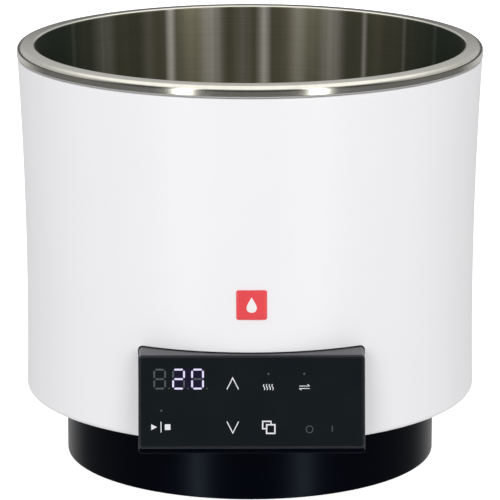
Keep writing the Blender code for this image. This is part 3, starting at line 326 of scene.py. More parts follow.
def make_brushed_steel():
    """Satin steel: fine lathe lines in its roughness and surface, its colour darkened as painted shade,
    with soft upright bands of painted reflection and upright stripes of painted highlight.
    """
    # The bore's colours are dark and tinted olive: painted shade of the deep bore.
    made, tree, shader = finish("brushed_steel", (0.3, 0.3, 0.24), 0.3, 1.0)
    lines, bands = lathed(tree, 0.0006, 9.0)
    fine_lines, fine_bands = lathed(tree, 0.0004, 45.0)
    painted_light_marks = node(tree, "Group", node_tree=make_painted_streaks()).outputs
    # Soft upright bands of painted reflection across the bore's colour.
    band = ramp(tree, bands, 0.36, 0.66, interpolation="LINEAR")
    colour = blended(tree, band, (0.205, 0.2, 0.135), (0.31, 0.29, 0.205))
    # Painted shade: darker and greener towards the bore's sides.
    colour = blended(tree, painted_light_marks["Side"], colour, (0.085, 0.115, 0.085))
    # Upright stripes of painted highlight, lightening the colour nearly to white.
    uneven = between(tree, fine_bands, 0.5, 1.5)
    painted_streak = maths(tree, "MULTIPLY", painted_light_marks["Painted Streak"], uneven, use_clamp=True)
    colour = blended(tree, painted_streak, colour, (0.97, 0.93, 0.86))
    lined = {0: colour, "Scale": between(tree, lines, 0.78, 1.2)}
    toned = node(tree, "VectorMath", lined, operation="SCALE").outputs[0]
    rough = maths(tree, "MULTIPLY_ADD", painted_streak, 0.2, between(tree, fine_lines, 0.34, 0.5))
    feed(shader, {"Base Color": toned, "Roughness": rough, "Tangent": round_the_axis(tree)})
    shader.inputs["Anisotropic"].default_value = 0.8
    shader.inputs["Anisotropic Rotation"].default_value = 0.25
    raise_by(shader, fine_lines, 0.000004)
    return made


def make_polished_steel():
    """The rim: nearly bright, with faint polishing lines round it."""
    made, tree, shader = finish("polished_steel", (0.84, 0.82, 0.75), 0.16, 1.0)
    lines, bands = lathed(tree, 0.00025, 14.0)
    colour = blended(tree, bands, (0.74, 0.72, 0.63), (0.91, 0.89, 0.8))
    feed(shader, {"Base Color": colour, "Roughness": between(tree, lines, 0.09, 0.2)})
    raise_by(shader, lines, 0.000004)
    return made


def of_faces(piece, quality):
    """The "center" or the "normal" of each face, as x, y, z."""
    values = np.empty(len(piece.data.polygons) * 3, np.float32)
    piece.data.polygons.foreach_get(quality, values)
    return values.reshape(-1, 3)


def coat(piece, *finishes, second_on=None):
    """Gives the piece its materials, the second to the faces that are marked."""
    for made in finishes:
        piece.data.materials.append(made)
    if second_on is not None:
        piece.data.polygons.foreach_set("material_index", second_on.astype(np.int32))


tub = turned("drawn_tub", tub_profile())
middles = of_faces(tub, "center")
off_axis = np.hypot(middles[:, 0], middles[:, 1] - BATH_Y)
on_rim = (middles[:, 2] > LIP_BOTTOM - TUB_SHEET) & (off_axis > MOUTH_RADIUS + POLISH_START)
coat(tub, make_brushed_steel(), make_polished_steel(), second_on=on_rim)
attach(tub, "housing")
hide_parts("tub")


# ------------------------------------------------------------------------------------------- Gasket
# A ring of pale silicone between the rim and the shell: a rib fills the rolled rim, and a thin band
# shows below the lip. It is turned like the tub, with its lower edge rounded.

gasket_low, gasket_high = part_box("rim_gasket")
SEAT_GAP = 0.0003
GASKET_BAND = 0.0008
GASKET_ROUND = 0.0003
RIB_RADIUS = RIM_RADIUS - TUB_SHEET - SEAT_GAP
GASKET_MOUTH = MOUTH_RADIUS + TUB_SHEET + SEAT_GAP
WEAR_PITCH = 0.04


def gasket_profile():
    """The rib's top, its outer side, the band that stands out below the lip, and the inner side."""
    low, outer = gasket_low.z, gasket_high.x
    edge = arc(outer - GASKET_ROUND, low + GASKET_ROUND, GASKET_ROUND, 0, -90, 5)
    start = [(GASKET_MOUTH, gasket_high.z), (RIB_RADIUS, gasket_high.z), (RIB_RADIUS, low + GASKET_BAND)]
    return np.concatenate([start, [(outer, low + GASKET_BAND)], edge, [(GASKET_MOUTH, low)]])


def make_skin():
    """A moulded or painted surface.

    Grain is fine even noise at the given pitch, and Wear is wide soft noise, as from handling.
    """
    pitches = {"Grain Pitch": 0.0006, "Wear Pitch": 0.03}
    group, given, result = new_group("skin", pitches, ("Grain", "Wear"))
    place = node(group, "TexCoord").outputs["Object"]
    for label, detail in (("Grain", 2.0), ("Wear", 4.0)):
        scale = maths(group, "DIVIDE", 1.0, given.outputs[f"{label} Pitch"])
        values = {"Vector": place, "Scale": scale, "Detail": detail, "Roughness": 0.55}
        feed(result, {label: node(group, "TexNoise", values).outputs["Fac"]})
    return group


skin = make_skin()


def skinned(tree, grain_pitch, wear_pitch=WEAR_PITCH):
    """The grain and the wear of a skin, at their pitches in metres."""
    values = {"Grain Pitch": grain_pitch, "Wear Pitch": wear_pitch}
    surface = node(tree, "Group", values, node_tree=skin)
    return surface.outputs["Grain"], surface.outputs["Wear"]


def moulded(name, colour, roughness, grain, depth, specular=0.5, worn=0.06, metallic=0.0, uneven=0.09):
    """A moulded or coated surface.

    Its grain is a pitch and a depth in metres, and wear varies its gloss and, by uneven, its colour.
    """
    made, tree, shader = finish(name, colour, roughness, metallic, specular)
    surface, wear = skinned(tree, grain)
    lighter = [min(1.0, value * (1.0 + uneven)) for value in colour]
    darker = [value * (1.0 - uneven) for value in colour]
    gloss = between(tree, wear, max(0.02, roughness - worn), roughness + worn)
    feed(shader, {"Base Color": blended(tree, wear, darker, lighter), "Roughness": gloss})
    raise_by(shader, surface, depth)
    return made


gasket = turned("silicone_gasket", gasket_profile())
coat(gasket, moulded("pale_silicone", (0.42, 0.42, 0.41), 0.6, 0.0005, 0.00001))
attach(gasket, "housing")
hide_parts("rim_gasket")


# -------------------------------------------------------------------------------------------- Shell
# A white moulded shell with a hollow side, widest at its top and turned in below as a flange that sits on
# the plinth. A window for the console is cut through its lower front. It is turned, then cut.

shell_low, shell_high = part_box("shell")
SHELL_BOTTOM = shell_low.z
SHELL_TOP = shell_high.z
SHELL_WALL = 0.0025
SHELL_EDGE = 0.003
SHELL_CROWN = 0.0006  # round of its top outer edge
SHELL_FILLET = 0.002  # between flange and side, inside
SHELL_WAIST = MOUTH_RADIUS + 0.0064  # outer radius where the shell is narrowest
WAIST_HEIGHT = RIM_TOP - 0.137
FLARE_RADIUS = 2.3
FLANGE_INNER = 0.085
SHELL_MOUTH = MOUTH_RADIUS + TUB_SHEET + 0.001


def shell_radius(height):
    """Outer radius: waist + R - sqrt(R^2 - h^2), with h the height from the waist and R the flare."""
    return SHELL_WAIST + FLARE_RADIUS - np.sqrt(FLARE_RADIUS**2 - (height - WAIST_HEIGHT) ** 2)


def shell_side(inset, start, end, count):
    """Points down or up the side between two heights, moved in by the inset."""
    height = np.linspace(start, end, count + 1)
    return np.stack([shell_radius(height) - inset, height], axis=1)


def shell_profile():
    """Down the outside from the top, round the lower edge, in along the flange and up the inside."""
    crown = shell_radius(SHELL_TOP) - SHELL_CROWN
    lowest = shell_radius(SHELL_BOTTOM)
    foot = SHELL_BOTTOM + SHELL_EDGE
    top = SHELL_TOP - SHELL_WALL
    flange = SHELL_BOTTOM + SHELL_WALL
    return np.concatenate([
        run((SHELL_MOUTH, SHELL_TOP), (crown, SHELL_TOP), 1),
        arc(crown, SHELL_TOP - SHELL_CROWN, SHELL_CROWN, 90, 0, 5),
        shell_side(0.0, SHELL_TOP - SHELL_CROWN, foot, 90)[1:],
        arc(lowest - SHELL_EDGE, foot, SHELL_EDGE, 0, -90, 12)[1:],
        run((lowest - SHELL_EDGE, SHELL_BOTTOM), (FLANGE_INNER, SHELL_BOTTOM), 8),
        [(FLANGE_INNER, SHELL_BOTTOM), (FLANGE_INNER, flange)],
        run((FLANGE_INNER, flange), (lowest - SHELL_WALL - SHELL_FILLET, flange), 8),
        shell_side(SHELL_WALL, flange + SHELL_FILLET, top, 30),
        [(SHELL_MOUTH, top), (SHELL_MOUTH, SHELL_TOP)],
    ])


def rounded_outline(width, low, high, radius, count=8, along=6, rounds=(1, 1, 1, 1)):
    """A rectangle (x, z) about x = 0 with round corners, from its lower right corner anticlockwise.

    Each corner has count + 1 points and each side along more, so that outlines of other sizes match it
    point by point. A corner whose entry in rounds is 0 is almost square.
    """
    parts = []
    corners = ((1, low, -90), (1, high, 0), (-1, high, 90), (-1, low, 180))
    for (side, edge, start), share in zip(corners, rounds):
        r = max(radius * share, 0.00001)
        inwards = 1 if edge == low else -1
        parts.append(arc(side * (width / 2 - r), edge + inwards * r, r, start, start + 90, count))
    ends = parts[1:] + parts[:1]
    pairs = [np.concatenate([part, run(part[-1], after[0], along)]) for part, after in zip(parts, ends)]
    return np.concatenate(pairs)


def ring_at(outline, y):
    """An outline (x, z) at one Y, or with a Y for each of its points."""
    return np.stack([outline[:, 0], np.broadcast_to(y, len(outline)), outline[:, 1]], axis=1)


def prism(name, steps):
    """Outlines (x, z) joined along Y, from pairs of an outline and its Y, filled at both ends."""
    return ring_grid(name, [ring_at(outline, y) for outline, y in steps])


def cut(piece, outline, front, back):
    """Takes an outline (x, z), carried from one Y to another, out of the piece for good."""
    cutter = prism("cutter", [(outline, front), (outline, back)])
    modifier = piece.modifiers.new("Cut", "BOOLEAN")
    modifier.solver = "EXACT"
    modifier.object = cutter
    graph = bpy.context.evaluated_depsgraph_get()
    done = bpy.data.meshes.new_from_object(piece.evaluated_get(graph))
    piece.modifiers.clear()
    piece.data = done
    bpy.data.objects.remove(cutter)
    smooth_by_angle(done)


hood_low, hood_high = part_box("console_housing")
HOOD_WIDTH = hood_high.x - hood_low.x
HOOD_TOP = hood_high.z
HOOD_FRONT = hood_low.y
HOOD_ROUND = 0.0022
WINDOW_GAP = 0.0006
WINDOW_PAST = 0.005  # how far the cutter runs past the shell

shell = turned("white_shell", shell_profile(), sides=480)
window = rounded_outline(
    HOOD_WIDTH + 2 * WINDOW_GAP, SHELL_BOTTOM - WINDOW_PAST, HOOD_TOP + WINDOW_GAP,
    HOOD_ROUND + WINDOW_GAP, rounds=(0, 1, 1, 0),
)
cut(shell, window, HOOD_FRONT - 2 * WINDOW_PAST, BATH_Y - FLANGE_INNER + WINDOW_GAP)
coat(shell, moulded("white_paint", (0.875, 0.868, 0.885), 0.36, 0.0011, 0.000006, worn=0.03, uneven=0.012))
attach(shell, "housing")
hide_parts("shell")


# ------------------------------------------------------------------------------------------- Plinth
# A black moulded cup that stands the bath up, narrower than the shell. Its rear side is flat and holds
# the connectors. Rings of its outline are stacked from the edge up, over the deck and down inside.

plinth_low, plinth_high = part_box("plinth")
PLINTH_RADIUS = plinth_high.x
PLINTH_FLAT = plinth_high.y - BATH_Y
PLINTH_WALL = 0.003
PLINTH_EDGE = 0.0012
DECK_HOLE = 0.062
CORNER_POWER = 260.0
INLET_HOLE = (0.0276, 0.0296)
INLET_HOLE_ROUND = 0.0005
SYNC_HOLE = 0.0081
BREAKER_HOLE = 0.0051
HOLE_REACH = 0.012  # of the cutters, before and behind the flat


def plinth_ring(inset, height, sides=360):
    """The round cut off by a flat rear side, at a height.

    r = R (1 + (R sin a / F)^p)^(-1/p) behind the axis, R the radius and F the flat's reach: the large
    power p joins the two with a small round corner.
    """
    turn = full_turn(sides)
    radius, flat = PLINTH_RADIUS - inset, PLINTH_FLAT - inset
    rear = np.maximum(np.sin(turn), 0.0) * radius / flat
    r = radius * (1.0 + rear**CORNER_POWER) ** (-1.0 / CORNER_POWER)
    return np.stack([r * np.cos(turn), BATH_Y + r * np.sin(turn), np.full(sides, height)], axis=1)


def plinth_rings():
    """Up the outside with rounded edges, in over the deck, and down the inside."""
    low, high = plinth_low.z, plinth_high.z
    lower = arc(PLINTH_EDGE, low + PLINTH_EDGE, PLINTH_EDGE, 270, 180, 6)
    upper = arc(PLINTH_EDGE, high - PLINTH_EDGE, PLINTH_EDGE, 180, 90, 6)
    steps = np.concatenate([lower, run(lower[-1], upper[0], 12), upper])
    rings = [plinth_ring(inset, height) for inset, height in steps]
    hole = plinth_ring(0.0, high) - (0.0, BATH_Y, high)
    hole *= DECK_HOLE / np.linalg.norm(hole, axis=1, keepdims=True)
    rings += [hole + (0.0, BATH_Y, height) for height in (high, high - PLINTH_WALL)]
    return rings + [plinth_ring(PLINTH_WALL, height) for height in (high - PLINTH_WALL, low)]


def disc(x, y, radius, count=20):
    """Points on a circle."""
    turn = full_turn(count)
    return np.stack([x + radius * np.cos(turn), y + radius * np.sin(turn)], axis=1)


def boxed(width, tall, height, round_by, x=0.0, rounds=(1, 1, 1, 1)):
    """A rounded rectangle (x, z) about a middle."""
    outline = rounded_outline(width, height - tall / 2, height + tall / 2, round_by, rounds=rounds)
    outline[:, 0] += x
    return outline


plinth = ring_grid("black_plinth", plinth_rings(), closed=True)
inlet_low, inlet_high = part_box("inlet_body")
sync_low, sync_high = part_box("sync_socket")
nut_low, nut_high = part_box("breaker_nut")
INLET_HEIGHT = (inlet_low.z + inlet_high.z) / 2
SYNC_X = (sync_low.x + sync_high.x) / 2
BREAKER_X = (nut_low.x + nut_high.x) / 2
plinth_holes = (
    boxed(*INLET_HOLE, INLET_HEIGHT, INLET_HOLE_ROUND),
    disc(SYNC_X, INLET_HEIGHT, SYNC_HOLE, 48),
    disc(BREAKER_X, INLET_HEIGHT, BREAKER_HOLE, 48),
)
for hole in plinth_holes:
    cut(plinth, hole, plinth_high.y - HOLE_REACH, plinth_high.y + HOLE_REACH)
black_moulding = moulded(
    "black_moulding", (0.0002, 0.0006, 0.0024), 0.26, 0.0007, 0.00001, specular=0.15, worn=0.03
)
black_shader = black_moulding.node_tree.nodes["Principled BSDF"]
black_shader.inputs["Specular Tint"].default_value = (0.62, 0.76, 1.0, 1.0)
coat(plinth, black_moulding)
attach(plinth, "housing")
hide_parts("plinth")


# ------------------------------------------------------------------------------------- Console hood
# A dark moulded hood that stands out of the shell's window: flat top, a face that slopes forward, and a
# low chin under it, coloured black like the plinth as painted shade under the face. One outline is
# carried forward from inside the shell, over the front edge and into the pocket for the glass, with the
# same points at each step.

FACE_TILT = math.radians(15.0)
UP_FACE = np.array([0.0, math.sin(FACE_TILT), math.cos(FACE_TILT)])
OFF_FACE = np.array([0.0, -math.cos(FACE_TILT), math.sin(FACE_TILT)])
glass_low, glass_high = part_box("touch_glass")
GLASS_THICK = 0.002
GLASS_WIDTH = glass_high.x - glass_low.x
GLASS_LENGTH = (glass_high.z - glass_low.z - GLASS_THICK * math.sin(FACE_TILT)) / math.cos(FACE_TILT)
GLASS_ROUND = 0.0018
GLASS_GAP = 0.0003
FACE_MIDDLE = (np.array(glass_low) + np.array(glass_high)) / 2 + OFF_FACE * GLASS_THICK / 2
HOOD_WALL = 0.0025
HOOD_SOFT = 0.0004  # round of the front edge
CHIN_SOFT = 0.0010
CHIN_START = 0.0008  # how far below the glass the face turns plumb
CHIN_SHADE_MARGIN = 0.0001  # how far below that turn the chin's painted shade starts
CREASE_LOW = 0.0003  # how far the face runs past the pocket, below it and above it
CREASE_HIGH = 0.0001
LEDGE = 0.004
INSIDE_ROUND = 0.0006
TONGUE_BACK = BATH_Y - 0.086
HOOD_BACK = BATH_Y - 0.100
FACE_LOW = FACE_MIDDLE[2] - (GLASS_LENGTH / 2 + CHIN_START) * math.cos(FACE_TILT)
ROCKER_HOLE = (0.0196, 0.0100, 0.0131)  # along X, Z and Y
ROCKER_HOLE_RISE = 0.001
ROCKER_HOLE_ROUND = 0.0002


def on_face(outline, lift=0.0):
    """World points for places (x, y) on the sloping face: x across, y up it from its middle, lift off it."""
    outline = np.asarray(outline, float)
    across = outline[:, :1] * np.array([1.0, 0.0, 0.0])
    return FACE_MIDDLE + across + outline[:, 1:] * UP_FACE + lift * OFF_FACE


def hood_front(height):
    """Y of the hood's front at a height: the slope, and a plumb chin below it."""
    above = np.maximum(height, FACE_LOW) - FACE_MIDDLE[2]
    return FACE_MIDDLE[1] + above * math.tan(FACE_TILT)


def hood_rings():
    """From the inside rear edge forward along the outside, round the front edge and into the pocket."""
    outline = rounded_outline(HOOD_WIDTH, SHELL_BOTTOM, HOOD_TOP, HOOD_ROUND)
    floor = outline[:, 1] < SHELL_BOTTOM + HOOD_ROUND * 0.5
    back = np.where(floor, TONGUE_BACK, HOOD_BACK)
    rings = [ring_at(outline, back)]
    for turn in np.radians(np.linspace(0.0, 90.0, 6)):
        inset, pull = 1.0 - math.cos(turn), 1.0 - math.sin(turn)
        soft = HOOD_SOFT * inset
        low, high = SHELL_BOTTOM + CHIN_SOFT * inset, HOOD_TOP - soft
        ring = rounded_outline(HOOD_WIDTH - 2 * soft, low, high, HOOD_ROUND - soft)
        chin = np.clip((FACE_LOW - ring[:, 1]) / (FACE_LOW - SHELL_BOTTOM), 0.0, 1.0)
        softness = HOOD_SOFT * (1.0 - chin) + CHIN_SOFT * chin
        rings.append(ring_at(ring, hood_front(ring[:, 1]) + pull * softness))
    half = GLASS_LENGTH / 2 + GLASS_GAP
    deep = -GLASS_THICK - GLASS_GAP
    crease = (HOOD_WIDTH - 2 * HOOD_SOFT, -half - CREASE_LOW, half + CREASE_HIGH, HOOD_ROUND - HOOD_SOFT)
    pocket = rounded_outline(GLASS_WIDTH + 2 * GLASS_GAP, -half, half, GLASS_ROUND + GLASS_GAP)
    ledge = rounded_outline(GLASS_WIDTH - 2 * LEDGE, -half + LEDGE, half - LEDGE, GLASS_ROUND)
    rings += [on_face(rounded_outline(*crease)), on_face(pocket), on_face(pocket, deep)]
    rings += [on_face(ledge, deep), on_face(ledge, deep - HOOD_WALL)]
    inside = (HOOD_WIDTH - 2 * HOOD_WALL, SHELL_BOTTOM + HOOD_WALL, HOOD_TOP - HOOD_WALL, INSIDE_ROUND)
    inside = rounded_outline(*inside)
    front = hood_front(inside[:, 1]) + (HOOD_WALL + GLASS_THICK) / math.cos(FACE_TILT)
    return rings + [ring_at(inside, front), ring_at(inside, back)]


hood = ring_grid("console_hood", hood_rings(), closed=True)
switch_low, switch_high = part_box("rocker_body")
ROCKER_X = (switch_low.x + switch_high.x) / 2
ROCKER_Y = (switch_low.y + switch_high.y) / 2
hole = boxed(*ROCKER_HOLE[:2], SHELL_BOTTOM + ROCKER_HOLE_RISE, ROCKER_HOLE_ROUND, ROCKER_X)
cut(hood, hole, ROCKER_Y - ROCKER_HOLE[2] / 2, ROCKER_Y + ROCKER_HOLE[2] / 2)
hood_moulding = moulded("hood_moulding", (0.042, 0.042, 0.05), 0.3, 0.0006, 0.00001, worn=0.05)
# The chin takes the plinth's black as painted shade under the console's face.
chin_in_painted_shade = of_faces(hood, "center")[:, 2] < FACE_LOW - CHIN_SHADE_MARGIN
coat(hood, hood_moulding, black_moulding, second_on=chin_in_painted_shade)
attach(hood, "housing")
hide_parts("console_housing")


# -------------------------------------------------------------------------------------- Touch glass
# A pane of dark back-printed glass, ground with a fine bevel, let into the hood's face.

GLASS_BEVEL = 0.0004
BEVEL_FACING = (0.3, 0.99)  # cosines between which the bevel's faces lean away from the pane's
BEVEL_STEPS = (
    (0.0, -GLASS_THICK), (0.0, -GLASS_BEVEL), (GLASS_BEVEL * 0.3, -GLASS_BEVEL * 0.3), (GLASS_BEVEL, 0.0),
)


def pane_ring(inset, lift):
    """The pane's outline, moved in and lifted off the face."""
    length = GLASS_LENGTH / 2 - inset
    return on_face(rounded_outline(GLASS_WIDTH - 2 * inset, -length, length, GLASS_ROUND - inset), lift)


def make_dark_glass():
    """Glass printed dark behind: deep greenish black, glossy, with faint wiping marks."""
    made, tree, shader = finish("dark_glass", (0.008, 0.012, 0.0145), 0.1)
    _, wear = skinned(tree, 0.002, 0.02)
    colour = blended(tree, wear, (0.0055, 0.0085, 0.0105), (0.0085, 0.0125, 0.0145))
    feed(shader, {"Base Color": colour, "Roughness": between(tree, wear, 0.05, 0.16)})
    return made


pane = ring_grid("glass_pane", [pane_ring(inset, lift) for inset, lift in BEVEL_STEPS])
smooth_by_angle(pane.data, 10.0)
facing = of_faces(pane, "normal") @ OFF_FACE
on_bevel = (facing > BEVEL_FACING[0]) & (facing < BEVEL_FACING[1])
ground_edge = moulded("ground_edge", (0.028, 0.034, 0.038), 0.5, 0.0003, 0.00001)
coat(pane, make_dark_glass(), ground_edge, second_on=on_bevel)
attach(pane, "housing")
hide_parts("touch_glass")


# ---------------------------------------------------------------------------------------- Key marks
# The marks that shine through the glass, each a thin plate just off its surface: up and down arrows,
# start and stop, two overlapping squares for a copied value, signs for heat and for a link, and lamps.

MARK_LIFT = 0.00003
MARK_THICK = 0.00005
LINE = 0.00052  # width of a drawn line


def plates(name, outlines, lift=MARK_LIFT, thick=MARK_THICK):
    """Thin plates on the face, one for each outline of (x, y) points, which go round a convex shape."""
    points, faces = [], []
    for outline in outlines:
        start, count = len(points), len(outline)
        for level in (lift, lift + thick):
            points += on_face(outline, level).tolist()
        index = np.arange(start, start + count)
        after = np.roll(index, -1)
        faces += [index[::-1].tolist(), (index + count).tolist()]
        faces += np.stack([index, after, after + count, index + count], axis=1).tolist()
    return mesh_piece(name, points, faces)


def line(start, end, width=LINE):
    """A straight line of a width with square ends, as a rectangle."""
    start, end = np.array(start), np.array(end)
    along = (end - start) / np.linalg.norm(end - start)
    side = np.array([-along[1], along[0]]) * width / 2
    return [start - side, end - side, end + side, start + side]


def lines(points, width=LINE):
    """Lines from point to point, each pair's ends cut on the line that halves their corner."""
    points = np.asarray(points, float)
    along = np.diff(points, axis=0)
    along /= np.linalg.norm(along, axis=1, keepdims=True)
    side = np.stack([-along[:, 1], along[:, 0]], axis=1)
    joint = np.concatenate([side[:1], side[:-1] + side[1:], side[-1:]])
    joint /= (joint * np.concatenate([side[:1], side])).sum(axis=1, keepdims=True)
    left, right = points + joint * width / 2, points - joint * width / 2
    return [[right[i], right[i + 1], left[i + 1], left[i]] for i in range(len(along))]


def frame_lines(left, right, low, high, width):
    """The four sides of an open rectangle, joined at its corners."""
    ring = [(left, low), (right, low), (right, high), (left, high), (left, low), (right, low)]
    return lines(ring, width)[1:5]


def wave(x, low, high, swing=0.00035, width=0.00045):
    """An upright wavy line: x + swing sin(2 pi s) as s goes from 0 to 1 up it."""
    share = np.linspace(0.0, 1.0, 13)
    across = x + swing * np.sin(2 * math.pi * share)
    return lines(np.stack([across, low + (high - low) * share], axis=1), width)


def arrow_half(x, y, direction, reach=0.0028, head=0.0009, width=0.00036):
    """Half of a link sign: a level line with half an arrow head at one end, above or below it."""
    tip = x + direction * reach
    barb = lines([(tip - direction * 1.4 * head, y + direction * head), (tip, y)], width)
    return [line((x - direction * reach, y), (tip, y), width)] + barb


KEY_X = -0.01015
KEY_REACH = 0.0031
KEY_RISE = 0.0061
UP_POINT, DOWN_POINT = 0.0128, -0.0166
PLAY_LEFT, PLAY_RIGHT = -0.0536, -0.0505
PLAY_LOW, PLAY_HIGH = -0.0149, -0.0118
PLAY_Y = (PLAY_LOW + PLAY_HIGH) / 2
BAR_X, BAR_LOW, BAR_HIGH = -0.0484, -0.0161, -0.0105
STOP_LEFT, STOP_RIGHT, STOP_TALL = -0.0464, -0.0434, 0.0030
FRONT_SQUARE = (0.0079, 0.0123, -0.0168, -0.0122)  # left, right, low and high
REAR_SQUARE = (0.0058, 0.0102, -0.0143, -0.0104)
SQUARE_LINE, REAR_LINE = 0.00075, 0.0007
SQUARE_GAP, TOP_GAP = 0.00045, 0.0005  # between the rear square's ends and the front one's middle line
HEAT_PLACES = (0.0066, 0.0081, 0.0096, 0.0111)
HEAT_LOW, HEAT_HIGH = 0.0063, 0.0094
LINK_X, LINK_HIGH, LINK_LOW = 0.0281, 0.0084, 0.0071
BAR_LINE = 0.0005

white_marks = []
for point, foot in ((UP_POINT, UP_POINT - KEY_RISE), (DOWN_POINT, DOWN_POINT + KEY_RISE)):
    white_marks += lines([(KEY_X - KEY_REACH, foot), (KEY_X, point), (KEY_X + KEY_REACH, foot)])
white_marks.append([(PLAY_LEFT, PLAY_LOW), (PLAY_RIGHT, PLAY_Y), (PLAY_LEFT, PLAY_HIGH)])
white_marks.append(line((BAR_X, BAR_LOW), (BAR_X, BAR_HIGH), BAR_LINE))
white_marks.append(line((STOP_LEFT, PLAY_Y), (STOP_RIGHT, PLAY_Y), STOP_TALL))
white_marks += frame_lines(*FRONT_SQUARE, SQUARE_LINE)
left, right, low, high = REAR_SQUARE
behind = [(FRONT_SQUARE[0] - SQUARE_GAP, low), (left, low), (left, high), (right, high)]
white_marks += lines(behind + [(right, FRONT_SQUARE[3] + TOP_GAP)], REAR_LINE)
for x in HEAT_PLACES:
    white_marks += wave(x, HEAT_LOW, HEAT_HIGH)
white_marks += arrow_half(LINK_X, LINK_HIGH, 1) + arrow_half(LINK_X, LINK_LOW, -1)

marks = plates("key_marks", white_marks)
white_print, print_tree, print_shader = finish("white_print", (0.78, 0.79, 0.82), 0.45)
_, tone = skinned(print_tree, 0.0002, 0.004)
feed(print_shader, {"Base Color": blended(print_tree, tone, (0.66, 0.67, 0.7), (0.88, 0.88, 0.91))})
coat(marks, white_print)
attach(marks, "housing")

OFF_X, OFF_Y, OFF_RADIUS = 0.0308, -0.0147, 0.0018
ON_X, ON_LOW, ON_HIGH = 0.0429, -0.0161, -0.0128
OFF_LINE = 0.00045
LAMP_RADIUS = 0.00058
LAMP_PLACES = ((0.0089, 0.0149), (0.0280, 0.0149), (-0.0482, -0.0046))
dim_marks = [disc(x, y, LAMP_RADIUS) for x, y in LAMP_PLACES]
off_ring = disc(OFF_X, OFF_Y, OFF_RADIUS, 32)
dim_marks += lines(np.concatenate([off_ring, off_ring[:1]]), OFF_LINE)
dim_marks.append(line((ON_X, ON_LOW), (ON_X, ON_HIGH), BAR_LINE))


# ------------------------------------------------------------------------------------------ Display
# Three digits of seven segments with a point after each, seen through the glass. The last two are lit and
# read 20, a temperature in degrees; the unlit segments show as a dim grey green.
# A dark violet plate round the lit ones is their painted glow.

DIGIT_WIDTH = 0.0058  # between the middles of the upright segments
DIGIT_HEIGHT = 0.0101
SEGMENT = 0.00098
SEGMENT_GAP = 0.00046
DIGIT_PLACES = (-0.0491, -0.0390, -0.0289)
DIGIT_Y = 0.0122
POINT_DROP = 0.0050
POINT_SIDE = 0.0050
POINT_RADIUS = 0.0004
GLOW_PAST = 1.2  # how far the glow reaches from the middle of a lit digit, in half digit widths
GLOW_TALL = 1.1  # its height, in digit heights
GLOW_LIFT = 0.00001
SEGMENT_ENDS = {
    "top": ((-1, 1), (1, 1)),
    "upper_right": ((1, 1), (1, 0)),
    "lower_right": ((1, 0), (1, -1)),
    "bottom": ((-1, -1), (1, -1)),
    "lower_left": ((-1, 0), (-1, -1)),
    "upper_left": ((-1, 1), (-1, 0)),
    "middle": ((-1, 0), (1, 0)),
}
SHOWN = (
    (),
    ("top", "upper_right", "middle", "lower_left", "bottom"),
    ("top", "upper_right", "lower_right", "bottom", "lower_left", "upper_left"),
)


def segment(start, end):
    """A bar with pointed ends, drawn a little short of the two corners that it joins."""
    start, end = np.array(start), np.array(end)
    along = (end - start) / np.linalg.norm(end - start)
    side = np.array([-along[1], along[0]]) * SEGMENT / 2
    first, last = start + along * SEGMENT_GAP, end - along * SEGMENT_GAP
    shoulder = along * SEGMENT / 2
    near, far = first + shoulder, last - shoulder
    return [first, near - side, far - side, last, far + side, near + side]


lit, unlit = [], []
for place, shown in zip(DIGIT_PLACES, SHOWN):
    for name, ends in SEGMENT_ENDS.items():
        corners = [(place + x * DIGIT_WIDTH / 2, DIGIT_Y + y * DIGIT_HEIGHT / 2) for x, y in ends]
        (lit if name in shown else unlit).append(segment(*corners))
    unlit.append(disc(place + POINT_SIDE, DIGIT_Y - POINT_DROP, POINT_RADIUS))


def make_lamp(name, colour, strength):
    """A segment that shines through the glass, a little uneven along its length."""
    made, tree, shader = finish(name, (0.12, 0.11, 0.16), 0.4)
    _, tone = skinned(tree, 0.001, 0.003)
    dimmer = [value * 0.82 for value in colour]
    feed(shader, {"Emission Color": blended(tree, tone, dimmer, colour)})
    shader.inputs["Emission Strength"].default_value = strength
    return made


lit_digits = plates("lit_segments", lit)
coat(lit_digits, make_lamp("lit_segment", (0.8, 0.75, 1.0), 0.95))
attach(lit_digits, "housing")

# Painted glow: an unlit violet plate round the two lit digits stands in for their light in the glass.
glow_left = DIGIT_PLACES[1] - DIGIT_WIDTH / 2 * GLOW_PAST
glow_right = DIGIT_PLACES[2] + DIGIT_WIDTH / 2 * GLOW_PAST
glow_shape = line((glow_left, DIGIT_Y), (glow_right, DIGIT_Y), DIGIT_HEIGHT * GLOW_TALL)
glow = plates("painted_display_glow", [glow_shape], GLOW_LIFT, GLOW_LIFT)
coat(glow, moulded("painted_violet_glow", (0.012, 0.0095, 0.028), 0.1, 0.002, 0.000001))
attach(glow, "housing")

unlit_digits = plates("unlit_segments", unlit + dim_marks)
coat(unlit_digits, moulded("unlit_segment", (0.06, 0.082, 0.082), 0.4, 0.0004, 0.000002))
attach(unlit_digits, "housing")


# -------------------------------------------------------------------------------------------- Badge
# A small red enamelled plate, bent to the shell, with a plain white water drop on it.

badge_low, badge_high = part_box("badge")
BADGE_WIDTH = badge_high.x - badge_low.x
BADGE_Z = (badge_low.z + badge_high.z) / 2
BADGE_HEIGHT = badge_high.z - badge_low.z
BADGE_GAP = 0.0001
BADGE_THICK = 0.0007
BADGE_ROUND = 0.0012
BADGE_SOFT = 0.0002
DROP_HEIGHT = 0.0086
DROP_FATNESS = 0.45  # half its width to its height, before the tip draws it in
DROP_RISE = 0.0002
DROP_RELIEF = 0.0001  # how far the drop stands out of the badge, and is let into it


def on_shell(x, z, lift):
    """World points on the shell's front: y = axis - sqrt(r(z)^2 - x^2), lifted straight forward."""
    x, z = np.asarray(x, float), np.asarray(z, float)
    y = BATH_Y - np.sqrt(shell_radius(z) ** 2 - x**2) - lift
    return np.stack([x, y, z], axis=-1)


